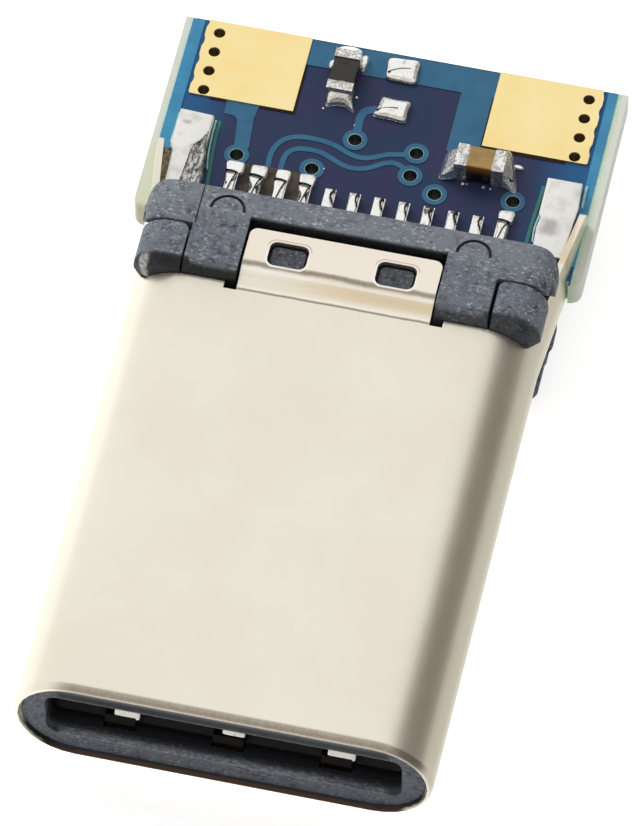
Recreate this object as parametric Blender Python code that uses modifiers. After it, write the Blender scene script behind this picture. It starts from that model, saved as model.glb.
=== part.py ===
"""USB-C plug on its small circuit board, built as separate solids.

Frame: metres, +Z up, +Y from the mouth to the wire end, +X across.
The origin is under the middle of the plug, at the lowest face of its base.
"""

import math

import bmesh
import bpy
from mathutils import Matrix, Vector

MM = 0.001

# Clearances
FIT = 0.015 * MM
SLIDE = 0.03 * MM
LAY = 0.01 * MM

# Contact row and mating slot, which set the size of all that is round them
PITCH = 0.50 * MM
CONTACTS_PER_ROW = 12
EMPTY_LOWER_PLACES = (5, 6)
SLOT_END = 0.67 * MM
SLOT_WIDTH = (CONTACTS_PER_ROW - 1) * PITCH + 2 * SLOT_END
SLOT_HEIGHT = 0.84 * MM

# Shell: a drawn oblong tube with a lip, two windowed tongues and two side leaves
SLOT_SIDE = 0.705 * MM
SLOT_COVER = 0.78 * MM
SHELL_WIDTH = SLOT_WIDTH + 2 * SLOT_SIDE
SHELL_HEIGHT = SLOT_HEIGHT + 2 * SLOT_COVER
SHELL_WALL = 0.13 * MM
SHELL_LENGTH = 9.88 * MM
LIP_DEPTH = 0.20 * MM
LIP_INSET = 0.10 * MM
TONGUE_WIDTH = 3.88 * MM
TONGUE_GAP = 0.05 * MM
TONGUE_LENGTH = 1.24 * MM
TONGUE_RISE = 0.20 * MM
TONGUE_RAMP = 0.45 * MM
TONGUE_CORNER = 0.16 * MM
RELIEF_WIDTH = 0.26 * MM
RELIEF_DEPTH = 0.16 * MM
WINDOW_WIDTH = 0.79 * MM
WINDOW_LENGTH = 0.56 * MM
WINDOW_CORNER = 0.15 * MM
WINDOW_SPACING = 2.17 * MM
WINDOW_FROM_REAR = 0.52 * MM
LEAF_HEIGHT = 1.50 * MM
LEAF_LENGTH = 3.50 * MM
LEAF_SPLAY = 0.245 * MM
LEAF_CORNER = 0.18 * MM
ARC_STEPS = 6

# Base mouldings behind the shell
BASE_OVERHANG = 0.04 * MM
BASE_STEP = 0.30 * MM
BASE_WIDTH = SHELL_WIDTH + 2 * BASE_OVERHANG
BASE_HEIGHT = SHELL_HEIGHT + 2 * BASE_STEP
BASE_EDGE_RADIUS = 0.60 * MM
BASE_REAR_CORNER = 0.32 * MM
BASE_FRONT_CHAMFER = 0.20 * MM
BLOCK_DEPTH = 0.97 * MM
BLOCK_INSET = 0.065 * MM
BLOCK_CORNER = 0.17 * MM
FINGER_WIDTH = 1.08 * MM
GROOVE = 0.05 * MM
BAR_GAP = 0.18 * MM
BAR_DEPTH = 0.55 * MM
BOSS_MARGIN = 0.06 * MM
BOSS_HEIGHT = 0.12 * MM
BASE_WINDOW_MARGIN = 0.08 * MM
MARK_RADIUS = 0.36 * MM
MARK_WIDTH = 0.05 * MM
MARK_DEPTH = 0.05 * MM
SEAM_WIDTH = 0.03 * MM
SEAM_DEPTH = 0.06 * MM

# Front housing
HOUSING_RECESS = 0.12 * MM
HOUSING_FROM_SHELL_REAR = 3.68 * MM
SLOT_CORNER = 0.22 * MM
SLOT_MOUTH_RISE = 0.19 * MM
SLOT_MOUTH_SIDE = 0.08 * MM
SLOT_MOUTH_DEPTH = 0.55 * MM
SLOT_TAPER = 0.25 * MM
CHANNEL_RISE = 0.36 * MM
CHANNEL_LEAD = 0.10 * MM
ARM_SLOT_LEAD = 0.30 * MM
SPRING_WINDOW_LEAD = 0.22 * MM

# Contacts
CONTACT_WIDTH = 0.22 * MM
CONTACT_THICKNESS = 0.15 * MM
CONTACT_HEIGHT = 0.50 * MM
CONTACT_APEX = 0.34 * MM
CONTACT_TIP_DEPTH = 1.80 * MM
CONTACT_TIP_RISE = 0.26 * MM
CONTACT_LEAD_LENGTH = 0.25 * MM
CONTACT_LEAD_RISE = 0.12 * MM
CONTACT_APEX_LENGTH = 0.24 * MM
CONTACT_APEX_BACK = 0.65 * MM
CONTACT_HEEL_BACK = 1.25 * MM
CONTACT_HEEL_RISE = 0.10 * MM
CONTACT_ROOT_LENGTH = 1.20 * MM
TAIL_BEND = 0.22 * MM
TAIL_LENGTH = 1.05 * MM

# Contact holders
HOLDER_MARGIN = 0.19 * MM
HOLDER_COVER = 0.225 * MM
HOLDER_WIDTH = (CONTACTS_PER_ROW - 1) * PITCH + CONTACT_WIDTH + 2 * HOLDER_MARGIN
HOLDER_OUTER = CONTACT_HEIGHT + CONTACT_THICKNESS / 2 + HOLDER_COVER

# Latch plate
PLATE_THICKNESS = 0.20 * MM
PLATE_INSET = 0.35 * MM
ARM_WIDTH = 0.24 * MM
ARM_INSET = 0.345 * MM
ARM_ROOT_FROM_SHELL_REAR = 1.58 * MM
ARM_ROOT_SLOPE = 0.35 * MM
HOOK_DEPTH = 2.30 * MM
HOOK_REACH = 0.34 * MM
HOOK_LEAD = 0.18 * MM
HOOK_LENGTH = 0.27 * MM
HOOK_BACK = 0.30 * MM
LEG_WIDTH = 0.24 * MM
LEG_SHOULDER = 0.60 * MM
LEG_NOTCH = 0.20 * MM
LEG_BEND_START = 0.15 * MM
LEG_BEND_LENGTH = 0.35 * MM
NECK_WIDTH = 0.56 * MM
NECK_INSET = 0.09 * MM
NECK_FLARE = 0.45 * MM
TAB_WIDTH = 0.70 * MM
TAB_LENGTH = 0.98 * MM
TAB_CLEARANCE = 0.13 * MM
TAB_SHOULDER = 0.10 * MM
TAB_BESIDE_LEAF = 0.18 * MM

# Shielding springs
SPRING_THICKNESS = 0.08 * MM
SPRING_STRIP = 0.50 * MM
SPRING_WIDTH = 5.60 * MM
SPRING_FINGER = 0.60 * MM
SPRING_SPACING = 2.13 * MM
SPRING_APEX_DEPTH = 0.66 * MM
SPRING_REACH = 0.05 * MM
SPRING_STRIP_DEPTH = 1.65 * MM
SPRING_ROOT_LENGTH = 0.25 * MM
SPRING_ROOT_DROP = 0.04 * MM
SPRING_HEEL_BACK = 0.30 * MM
SPRING_HEEL_RISE = 0.16 * MM
SPRING_APEX_HALF = 0.07 * MM
SPRING_TIP_LENGTH = 0.14 * MM
SPRING_TIP_RISE = 0.12 * MM
SPRING_NUMBERS = (-1, 0, 1)

# Circuit board
BOARD_OVERHANG = 0.385 * MM
BOARD_WIDTH = BASE_WIDTH + 2 * BOARD_OVERHANG
TAB_TO_PAD = 0.60 * MM
BOARD_THICKNESS = 0.60 * MM
BOARD_GAP = 0.10 * MM
PRONG_LENGTH = 0.10 * MM
PRONG_CORNER = 0.26 * MM
PAD_THICKNESS = 0.035 * MM
WIRE_PAD_WIDTH = 2.15 * MM
WIRE_PAD_LENGTH = 1.87 * MM
WIRE_PAD_MARGIN = 0.465 * MM
VIA_RADIUS = 0.12 * MM
VIA_FROM_REAR = 0.30 * MM
VIA_FROM_PAD_FRONT = 0.13 * MM
VIA_FROM_PAD_EDGE = 0.285 * MM
VIA_ROWS = 4
VIA_PITCH = (WIRE_PAD_LENGTH - VIA_FROM_REAR - VIA_FROM_PAD_FRONT) / (VIA_ROWS - 1)
SCALLOP_DEPTH = 0.03 * MM
SCALLOP_LENGTH = 0.40 * MM
SIGNAL_VIA_RADIUS = 0.14 * MM
SIGNAL_VIAS_LEFT = ((-2.80, 1.56), (-0.57, 2.43), (-1.26, 1.55))
SIGNAL_VIAS_RIGHT = ((0.70, 2.37), (0.69, 1.81), (1.26, 1.47), (2.82, 1.64))
SIGNAL_PAD_WIDTH = 0.72 * MM
SIGNAL_PAD_LENGTH = 1.40 * MM
SIGNAL_PAD_PITCH = 0.96 * MM
SIGNAL_PAD_CORNER = 0.08 * MM
SIGNAL_PADS = 4

# Chips on the board
CHIP_LENGTH = 1.00 * MM
CHIP_WIDTH = 0.50 * MM
RESISTOR_HEIGHT = 0.35 * MM
CAPACITOR_HEIGHT = 0.50 * MM
CHIP_END = 0.22 * MM
CHIP_END_SWELL = 0.015 * MM
RESISTOR_X = -1.10 * MM
RESISTOR_FROM_REAR = 0.88 * MM
CAPACITOR_X = 2.05 * MM
CAPACITOR_BETWEEN = 0.64
FILLET_REACH = 0.28 * MM
FILLET_WIDTH = 0.60 * MM
CAPACITOR_FILLET_HEIGHT = 0.45 * MM
MOUND_WIDTH = 0.72 * MM
MOUND_LENGTH = 0.58 * MM
MOUND_HEIGHT = 0.20 * MM
MOUND_DRAFT = 0.30
MOUND_ROUND = 0.28
FILLET_FALL = 0.55
SPARE_PAD_X = 0.02 * MM
SPARE_FRONT_FROM_REAR = 1.35 * MM
SPARE_REAR_FROM_REAR = 0.36 * MM

# Places derived from the sizes above; depth is measured back from the mouth
MID_Z = BASE_HEIGHT / 2
SHELL_RADIUS = SHELL_HEIGHT / 2
SHELL_FLAT = SHELL_WIDTH / 2 - SHELL_RADIUS
BASE_FRONT = SHELL_LENGTH + FIT
BLOCK_REAR = BASE_FRONT + BLOCK_DEPTH
END_FRONT = BLOCK_REAR + GROOVE
TONGUE_REAR = SHELL_LENGTH + TONGUE_LENGTH
BAR_FRONT = TONGUE_REAR + BAR_GAP
BASE_REAR = BAR_FRONT + BAR_DEPTH
BOARD_FRONT = BASE_REAR + BOARD_GAP
LEAF_REAR = SHELL_LENGTH + LEAF_LENGTH
TAB_OUTER = SHELL_WIDTH / 2 + LEAF_SPLAY - SHELL_WALL - TAB_CLEARANCE
TAB_FRONT = LEAF_REAR - TAB_BESIDE_LEAF
OVERALL_LENGTH = TAB_FRONT + TAB_LENGTH + TAB_TO_PAD + WIRE_PAD_LENGTH
WIRE_PAD_OUTER = BOARD_WIDTH / 2 - WIRE_PAD_MARGIN
VIA_X = WIRE_PAD_OUTER - VIA_FROM_PAD_EDGE
WEB_REAR = BAR_FRONT - 2 * GROOVE
WEB_HALF_HEIGHT = SHELL_RADIUS - FIT
FINGER_INNER = TONGUE_WIDTH / 2 + TONGUE_GAP
FINGER_OUTER = FINGER_INNER + FINGER_WIDTH
BLOCK_INNER = FINGER_OUTER + GROOVE
WINDOW_DEPTH = TONGUE_REAR - WINDOW_FROM_REAR
HOUSING_REAR = SHELL_LENGTH - HOUSING_FROM_SHELL_REAR
LEG_INNER = HOLDER_WIDTH / 2 + 2 * FIT
LEG_OUTER = LEG_INNER + LEG_WIDTH
ARM_OUTER = SHELL_WIDTH / 2 - ARM_INSET
ARM_ROOT = SHELL_LENGTH - ARM_ROOT_FROM_SHELL_REAR
BORE_RADIUS = SHELL_RADIUS - SHELL_WALL
HOUSING_RADIUS = BORE_RADIUS - SLIDE
BOARD_TOP = BOARD_THICKNESS / 2
LEAF_SLOT = BOARD_THICKNESS + 2 * FIT
BASE_WINDOW_HEIGHT = 2 * (HOLDER_OUTER + SLIDE)
TAIL_HEIGHT = BOARD_TOP + LAY + CONTACT_THICKNESS / 2
CLEAR_OF_ALL = BASE_WIDTH

PARTS = "usb_c_plug"
CUTTERS = "cutters"


def clear_scene():
    """Remove every object, and drop collections left from an earlier run."""
    for obj in list(bpy.data.objects):
        bpy.data.objects.remove(obj, do_unlink=True)
    for collection in list(bpy.data.collections):
        bpy.data.collections.remove(collection)


def new_collection(name):
    collection = bpy.data.collections.new(name)
    bpy.context.scene.collection.children.link(collection)
    return collection


def material(name, color, roughness, metallic=0.0):
    """One Principled material per finish, found again by its name."""
    found = bpy.data.materials.get(name)
    if found:
        return found
    made = bpy.data.materials.new(name)
    made.use_nodes = True
    shader = made.node_tree.nodes["Principled BSDF"]
    shader.inputs["Base Color"].default_value = (*color, 1.0)
    shader.inputs["Roughness"].default_value = roughness
    shader.inputs["Metallic"].default_value = metallic
    made.diffuse_color = (*color, 1.0)
    return made


def place(x, depth, height):
    """A point from its x, its depth behind the mouth and its height over the mid plane."""
    return Vector((x, depth - OVERALL_LENGTH / 2, height + MID_Z))


def add_object(name, mesh, collection=PARTS):
    obj = bpy.data.objects.new(name, mesh)
    bpy.data.collections[collection].objects.link(obj)
    if collection == CUTTERS:
        obj.hide_render = True
        obj.display_type = "WIRE"
    return obj


def object_from_bmesh(name, bm, collection=PARTS):
    bmesh.ops.recalc_face_normals(bm, faces=bm.faces)
    mesh = bpy.data.meshes.new(name)
    bm.to_mesh(mesh)
    bm.free()
    return add_object(name, mesh, collection)


def block(name, low, high, collection=CUTTERS):
    """A box between two corners, each given as x, depth and height."""
    bm = bmesh.new()
    bmesh.ops.create_cube(bm, size=1.0)
    start, end = place(*low), place(*high)
    bmesh.ops.scale(bm, vec=end - start, verts=bm.verts)
    bmesh.ops.translate(bm, vec=(start + end) / 2, verts=bm.verts)
    return object_from_bmesh(name, bm, collection)


def arc(center, radius, start, end, steps):
    """Points of an arc, with its angles in degrees."""
    points = []
    for step in range(steps + 1):
        angle = math.radians(start + (end - start) * step / steps)
        points.append((center[0] + radius * math.cos(angle), center[1] + radius * math.sin(angle)))
    return points


def rounded_rectangle(half_width, half_height, radius, steps=ARC_STEPS):
    """A rounded rectangle about the origin, counter-clockwise from its lower right."""
    x, y = half_width - radius, half_height - radius
    points = arc((x, -y), radius, -90, 0, steps)
    points += arc((x, y), radius, 0, 90, steps)
    points += arc((-x, y), radius, 90, 180, steps)
    points += arc((-x, -y), radius, 180, 270, steps)
    return points


def add_spline(curve, points):
    spline = curve.splines.new("POLY")
    spline.points.add(len(points) - 1)
    for point, (x, y) in zip(spline.points, points):
        point.co = (x, y, 0.0, 1.0)
    spline.use_cyclic_u = True


def curve_to_mesh(name, curve, matrix, collection):
    """Evaluate a curve, weld its caps and leave it as a mesh object."""
    draft = bpy.data.objects.new(name + "_outline", curve)
    bpy.context.scene.collection.objects.link(draft)
    bpy.context.view_layer.update()
    depsgraph = bpy.context.evaluated_depsgraph_get()
    mesh = bpy.data.meshes.new_from_object(draft.evaluated_get(depsgraph))
    bpy.data.objects.remove(draft, do_unlink=True)
    bm = bmesh.new()
    bm.from_mesh(mesh)
    bpy.data.meshes.remove(mesh)
    bmesh.ops.transform(bm, matrix=matrix, verts=bm.verts)
    bmesh.ops.remove_doubles(bm, verts=bm.verts, dist=1e-8)
    return object_from_bmesh(name, bm, collection)


def plan_plate(name, outlines, low, high, collection=PARTS):
    """A flat plate from outlines given as x and depth, between two heights."""
    curve = bpy.data.curves.new(name, "CURVE")
    curve.dimensions = "2D"
    curve.fill_mode = "BOTH"
    curve.extrude = (high - low) / 2
    for outline in outlines:
        add_spline(curve, outline)
    matrix = Matrix.Translation(place(0, 0, (low + high) / 2))
    return curve_to_mesh(name, curve, matrix, collection)


def section_prism(name, outlines, front, rear, collection=PARTS):
    """A prism along the plug from outlines given as x and height, between two depths."""
    curve = bpy.data.curves.new(name, "CURVE")
    curve.dimensions = "2D"
    curve.fill_mode = "BOTH"
    curve.extrude = (rear - front) / 2
    for outline in outlines:
        add_spline(curve, outline)
    stand_up = Matrix.Rotation(math.radians(90), 4, "X")
    matrix = Matrix.Translation(place(0, (front + rear) / 2, 0)) @ stand_up
    return curve_to_mesh(name, curve, matrix, collection)


def boolean(obj, tool, operation="DIFFERENCE"):
    """Cut or join with another mesh object and apply it, then remove the tool."""
    modifier = obj.modifiers.new(operation.lower(), "BOOLEAN")
    modifier.operation = operation
    modifier.solver = "EXACT"
    modifier.object = tool
    bpy.context.view_layer.update()
    depsgraph = bpy.context.evaluated_depsgraph_get()
    mesh = bpy.data.meshes.new_from_object(obj.evaluated_get(depsgraph))
    obj.modifiers.clear()
    old = obj.data
    obj.data = mesh
    bpy.data.meshes.remove(old)
    bpy.data.objects.remove(tool, do_unlink=True)


def cut(obj, *tools):
    for tool in tools:
        boolean(obj, tool)


def join(obj, *tools):
    for tool in tools:
        boolean(obj, tool, "UNION")


def finish(obj, finish_material, smooth_angle=30):
    """Give an object its material and shade its round faces smooth."""
    mesh = obj.data
    mesh.materials.clear()
    mesh.materials.append(finish_material)
    for polygon in mesh.polygons:
        polygon.material_index = 0
    mesh.shade_smooth()
    mesh.set_sharp_from_angle(angle=math.radians(smooth_angle))
    return obj


def mirrored_height(low, high):
    """The same span of heights above and below the mid plane."""
    return ((low, high), (-high, -low))


def nickel():
    return material("nickel", (0.80, 0.76, 0.68), 0.32, 1.0)


def black_plastic():
    return material("black_plastic", (0.035, 0.036, 0.040), 0.55)


def leaf_shift(depth):
    """How far along its length a side leaf is, from 0 at the shell's edge to 1 at its end."""
    return max(0.0, (depth - SHELL_LENGTH) / LEAF_LENGTH)


def leaf_x(height, depth, radius):
    """X of a side leaf, which starts as the shell's round side and ends flat and splayed."""
    side = SHELL_FLAT + math.sqrt(max(0.0, radius ** 2 - height ** 2))
    end = SHELL_FLAT + radius + LEAF_SPLAY
    return side + (end - side) * leaf_shift(depth)


def shell_heights():
    """Heights round the shell's side from its top to its bottom, with one on each edge of a leaf."""
    leaf_angle = math.degrees(math.asin(LEAF_HEIGHT / 2 / SHELL_RADIUS))
    slot_angle = math.degrees(math.asin(LEAF_SLOT / 2 / SHELL_RADIUS))
    upper = [90 + (leaf_angle - 90) * step / 4 for step in range(4)]
    upper += [leaf_angle + (slot_angle - leaf_angle) * step / 2 for step in range(2)]
    upper += [slot_angle]
    angles = upper + [0.0] + [-angle for angle in reversed(upper)]
    return [SHELL_RADIUS * math.sin(math.radians(angle)) for angle in angles]


def shell_section(depth, inset):
    """The shell's outside at one depth: a closed ring that starts at its top left."""
    half_tongue = TONGUE_WIDTH / 2
    relief = half_tongue + RELIEF_WIDTH
    rise = TONGUE_RISE * min(1.0, max(0.0, (depth - SHELL_LENGTH) / TONGUE_RAMP))
    top = [(-relief, 0.0), (-half_tongue, rise), (half_tongue, rise), (relief, 0.0)]
    ring = [(x, SHELL_RADIUS - inset + lift) for x, lift in top]
    scale = 1 - inset / SHELL_RADIUS
    side = []
    for height in shell_heights():
        x = leaf_x(height, depth, SHELL_RADIUS)
        side.append((SHELL_FLAT + (x - SHELL_FLAT) * scale, height * scale))
    ring += side
    ring += [(x, -height) for x, height in reversed(ring[:4])]
    ring += [(-x, height) for x, height in reversed(side)]
    return [place(x, depth, height) for x, height in ring]


def loft(sections, closed=True):
    """Faces through matching sections, each extruded from the one before it."""
    bm = bmesh.new()
    ring = [bm.verts.new(point) for point in sections[0]]
    count = len(ring)
    edges = [bm.edges.new((ring[i], ring[(i + 1) % count])) for i in range(count if closed else count - 1)]
    for section in sections[1:]:
        made = bmesh.ops.extrude_edge_only(bm, edges=edges)["geom"]
        edges = [item for item in made if isinstance(item, bmesh.types.BMEdge)]
        lifted = {}
        for vert in (item for item in made if isinstance(item, bmesh.types.BMVert)):
            source = next(e.other_vert(vert) for e in vert.link_edges if e.other_vert(vert) in ring)
            lifted[source] = vert
        edges = [e for e in edges if all(v in lifted.values() for v in e.verts)]
        ring = [lifted[vert] for vert in ring]
        for vert, point in zip(ring, section):
            vert.co = point
    return bm


def solidify(obj, thickness, offset=-1.0):
    """Give an open surface its wall and apply it."""
    modifier = obj.modifiers.new("wall", "SOLIDIFY")
    modifier.thickness = thickness
    modifier.offset = offset
    modifier.use_even_offset = True
    bpy.context.view_layer.update()
    depsgraph = bpy.context.evaluated_depsgraph_get()
    mesh = bpy.data.meshes.new_from_object(obj.evaluated_get(depsgraph))
    obj.modifiers.clear()
    old = obj.data
    obj.data = mesh
    bpy.data.meshes.remove(old)


def build_shell():
    lip = [(LIP_DEPTH * (1 - math.cos(a)), LIP_INSET * (1 - math.sin(a)))
           for a in (math.radians(90 * step / 4) for step in range(5))]
    depths = [(depth, inset) for depth, inset in lip]
    depths += [(SHELL_LENGTH - RELIEF_DEPTH, 0.0), (SHELL_LENGTH, 0.0)]
    depths += [(SHELL_LENGTH + TONGUE_RAMP, 0.0), (TONGUE_REAR, 0.0)]
    depths += [(BOARD_FRONT - FIT, 0.0), (LEAF_REAR, 0.0)]
    bm = loft([shell_section(depth, inset) for depth, inset in depths])
    edge = place(0, SHELL_LENGTH, 0).y
    tongue_end = place(0, TONGUE_REAR, 0).y
    relief_edge = place(0, SHELL_LENGTH - RELIEF_DEPTH, 0).y
    board_edge = place(0, BOARD_FRONT - FIT, 0).y
    spare = []
    for face in bm.faces:
        middle = face.calc_center_median()
        height = abs(middle.z - MID_Z)
        on_tongue = abs(middle.x) < TONGUE_WIDTH / 2 and middle.y < tongue_end
        on_leaf = height < LEAF_HEIGHT / 2 and not (middle.y > board_edge and height < LEAF_SLOT / 2)
        in_relief = TONGUE_WIDTH / 2 < abs(middle.x) < TONGUE_WIDTH / 2 + RELIEF_WIDTH
        if middle.y > edge and not on_tongue and not on_leaf:
            spare.append(face)
        elif middle.y > relief_edge and in_relief:
            spare.append(face)
    bmesh.ops.delete(bm, geom=spare, context="FACES")
    ends = [v for v in bm.verts if len(v.link_edges) == 2 and v.co.y > edge]
    tongue_corners = [v for v in ends if abs(v.co.x) < TONGUE_WIDTH / 2 + FIT]
    leaf_corners = [v for v in ends if abs(v.co.x) > TONGUE_WIDTH / 2 + RELIEF_WIDTH and v.co.y > board_edge]
    leaf_corners = [v for v in leaf_corners if abs(v.co.z - MID_Z) > LEAF_HEIGHT / 2 - FIT]
    for corners, radius in ((tongue_corners, TONGUE_CORNER), (leaf_corners, LEAF_CORNER)):
        bmesh.ops.bevel(bm, geom=corners, offset=radius, segments=4, profile=0.5, affect="VERTICES",
                        material=-1, offset_type="OFFSET", clamp_overlap=False)
    shell = object_from_bmesh("shell", bm)
    solidify(shell, SHELL_WALL)
    for side in (-1, 1):
        outline = rounded_rectangle(WINDOW_WIDTH / 2, WINDOW_LENGTH / 2, WINDOW_CORNER, 4)
        outline = [(x + side * WINDOW_SPACING / 2, depth + WINDOW_DEPTH) for x, depth in outline]
        cut(shell, plan_plate("shell_window", [outline], -BASE_HEIGHT, BASE_HEIGHT, CUTTERS))
    return finish(shell, nickel())


def leaf_pocket(side):
    """The space beside the base that a side leaf passes through."""
    half = LEAF_HEIGHT / 2 + FIT
    heights = [half - 2 * half * step / ARC_STEPS for step in range(ARC_STEPS + 1)]
    sections = []
    for depth in (BASE_FRONT - SHELL_WALL, BASE_FRONT, BASE_REAR, BASE_REAR + SHELL_WALL):
        inner = [(leaf_x(height, depth, BORE_RADIUS) - 3 * FIT, height) for height in heights]
        ring = inner + [(CLEAR_OF_ALL, -half), (CLEAR_OF_ALL, half)]
        sections.append([place(side * x, depth, height) for x, height in ring])
    bm = loft(sections)
    bmesh.ops.holes_fill(bm, edges=[e for e in bm.edges if e.is_boundary], sides=0)
    return object_from_bmesh("leaf_pocket", bm, CUTTERS)


def base_block(name, half_base, rear):
    """The base's outer form from its chamfered front to a depth."""
    sections = []
    chamfer = BASE_FRONT_CHAMFER
    for depth, inset in ((BASE_FRONT, chamfer), (BASE_FRONT + chamfer, 0.0), (rear, 0.0)):
        half_width, half_height = half_base - inset, BASE_HEIGHT / 2 - inset
        outline = rounded_rectangle(half_width, half_height, BASE_EDGE_RADIUS - inset)
        sections.append([place(x, depth, height) for x, height in outline])
    bm = loft(sections)
    bmesh.ops.holes_fill(bm, edges=[e for e in bm.edges if e.is_boundary], sides=0)
    return object_from_bmesh(name, bm)


def base_window(name, front, rear):
    """The opening through the base for the holders and the latch plate's legs."""
    half_width, half_height = LEG_OUTER + BASE_WINDOW_MARGIN, BASE_WINDOW_HEIGHT / 2
    return block(name, (-half_width, front, -half_height), (half_width, rear, half_height))


def tongue_space(sign):
    """The room that the shell's tongue needs over the web, with the slope of its ramp."""
    far = CLEAR_OF_ALL
    low, high = BORE_RADIUS - FIT, WEB_HALF_HEIGHT
    side = [(BASE_FRONT - far, low), (SHELL_LENGTH + 2 * FIT, low)]
    side += [(SHELL_LENGTH + TONGUE_RAMP + 2 * FIT, high), (WEB_REAR + far, high)]
    side += [(WEB_REAR + far, far), (BASE_FRONT - far, far)]
    xs = (-FINGER_INNER, FINGER_INNER)
    bm = loft([[place(x, depth, sign * height) for depth, height in side] for x in xs])
    bmesh.ops.holes_fill(bm, edges=[e for e in bm.edges if e.is_boundary], sides=0)
    return object_from_bmesh("tongue_space", bm, CUTTERS)


def build_front_base():
    base = base_block("front_base", BASE_WIDTH / 2 - BLOCK_INSET, WEB_REAR)
    far = CLEAR_OF_ALL
    before, behind = BASE_FRONT - far, WEB_REAR + far
    for low, high in mirrored_height(WEB_HALF_HEIGHT, far):
        cut(base, block("over_web", (-BLOCK_INNER, before, low), (BLOCK_INNER, behind, high)))
    for sign in (-1, 1):
        cut(base, tongue_space(sign))
    for side in (-1, 1):
        corner = arc((BLOCK_INNER + BLOCK_CORNER, BLOCK_REAR - BLOCK_CORNER), BLOCK_CORNER, 180, 90, 4)
        outline = [(BLOCK_INNER - FIT, behind), (BLOCK_INNER - FIT, BLOCK_REAR - BLOCK_CORNER)]
        outline += corner + [(far, BLOCK_REAR), (far, behind)]
        outline = [(side * x, depth) for x, depth in outline]
        cut(base, plan_plate("behind_block", [outline], -far, far, CUTTERS))
        cut(base, leaf_pocket(side))
    for side in (-1, 1):
        center = side * WINDOW_SPACING / 2
        half_width, half_length = WINDOW_WIDTH / 2 - BOSS_MARGIN, WINDOW_LENGTH / 2 - BOSS_MARGIN
        outline = rounded_rectangle(half_width, half_length, WINDOW_CORNER - BOSS_MARGIN, 2)
        outline = [(x + center, depth + WINDOW_DEPTH) for x, depth in outline]
        for low, high in mirrored_height(WEB_HALF_HEIGHT - SHELL_WALL / 2, WEB_HALF_HEIGHT + BOSS_HEIGHT):
            join(base, plan_plate("boss", [outline], low, high, CUTTERS))
    cut(base, base_window("front_base_window", before, behind))
    return finish(base, black_plastic())


def finger_mark(side, low, high):
    """A shallow moulded arc on the top of a finger, open towards the mouth."""
    center = (side * (FINGER_INNER + FINGER_WIDTH / 2 - MARK_WIDTH), BAR_FRONT + MARK_WIDTH)
    outer = arc(center, MARK_RADIUS, 0, 180, 8)
    inner = arc(center, MARK_RADIUS - MARK_WIDTH, 180, 0, 8)
    return plan_plate("finger_mark", [outer + inner], low, high, CUTTERS)


def build_rear_base():
    base = base_block("rear_base", BASE_WIDTH / 2, BASE_REAR)
    far = CLEAR_OF_ALL
    before = BASE_FRONT - far
    half_height = WEB_HALF_HEIGHT + FIT
    for side in (-1, 1):
        start, end = sorted((side * FINGER_OUTER, side * far))
        cut(base, block("block_space", (start, before, -far), (end, END_FRONT, far)))
    cut(base, block("tongue_space", (-FINGER_INNER, before, -far), (FINGER_INNER, BAR_FRONT, far)))
    cut(base, block("web_space", (-far, before, -half_height), (far, WEB_REAR + FIT, half_height)))
    for side in (-1, 1):
        corner_x, corner_depth = BASE_WIDTH / 2 - BASE_REAR_CORNER, BASE_REAR - BASE_REAR_CORNER
        outline = arc((corner_x, corner_depth), BASE_REAR_CORNER, 0, 90, 5)
        outline += [(corner_x, BASE_REAR + far), (far, BASE_REAR + far), (far, corner_depth)]
        outline = [(side * x, depth) for x, depth in outline]
        cut(base, plan_plate("rear_corner", [outline], -far, far, CUTTERS))
        cut(base, leaf_pocket(side))
        top = BASE_HEIGHT / 2
        cut(base, finger_mark(side, top - MARK_DEPTH, top + MARK_DEPTH))
    seam_x = -FINGER_OUTER + FIT
    seam_low = (seam_x, END_FRONT, BASE_HEIGHT / 2 - SEAM_DEPTH)
    cut(base, block("seam", seam_low, (seam_x + SEAM_WIDTH, BASE_REAR + far, far)))
    cut(base, base_window("rear_base_window", before, BASE_REAR + far))
    return finish(base, black_plastic())


def contact_x(place_number):
    """X of a contact place, counted from 0 at the left."""
    return (place_number - (CONTACTS_PER_ROW - 1) / 2) * PITCH


def lower_places():
    return [n for n in range(CONTACTS_PER_ROW) if n not in EMPTY_LOWER_PLACES]


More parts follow.
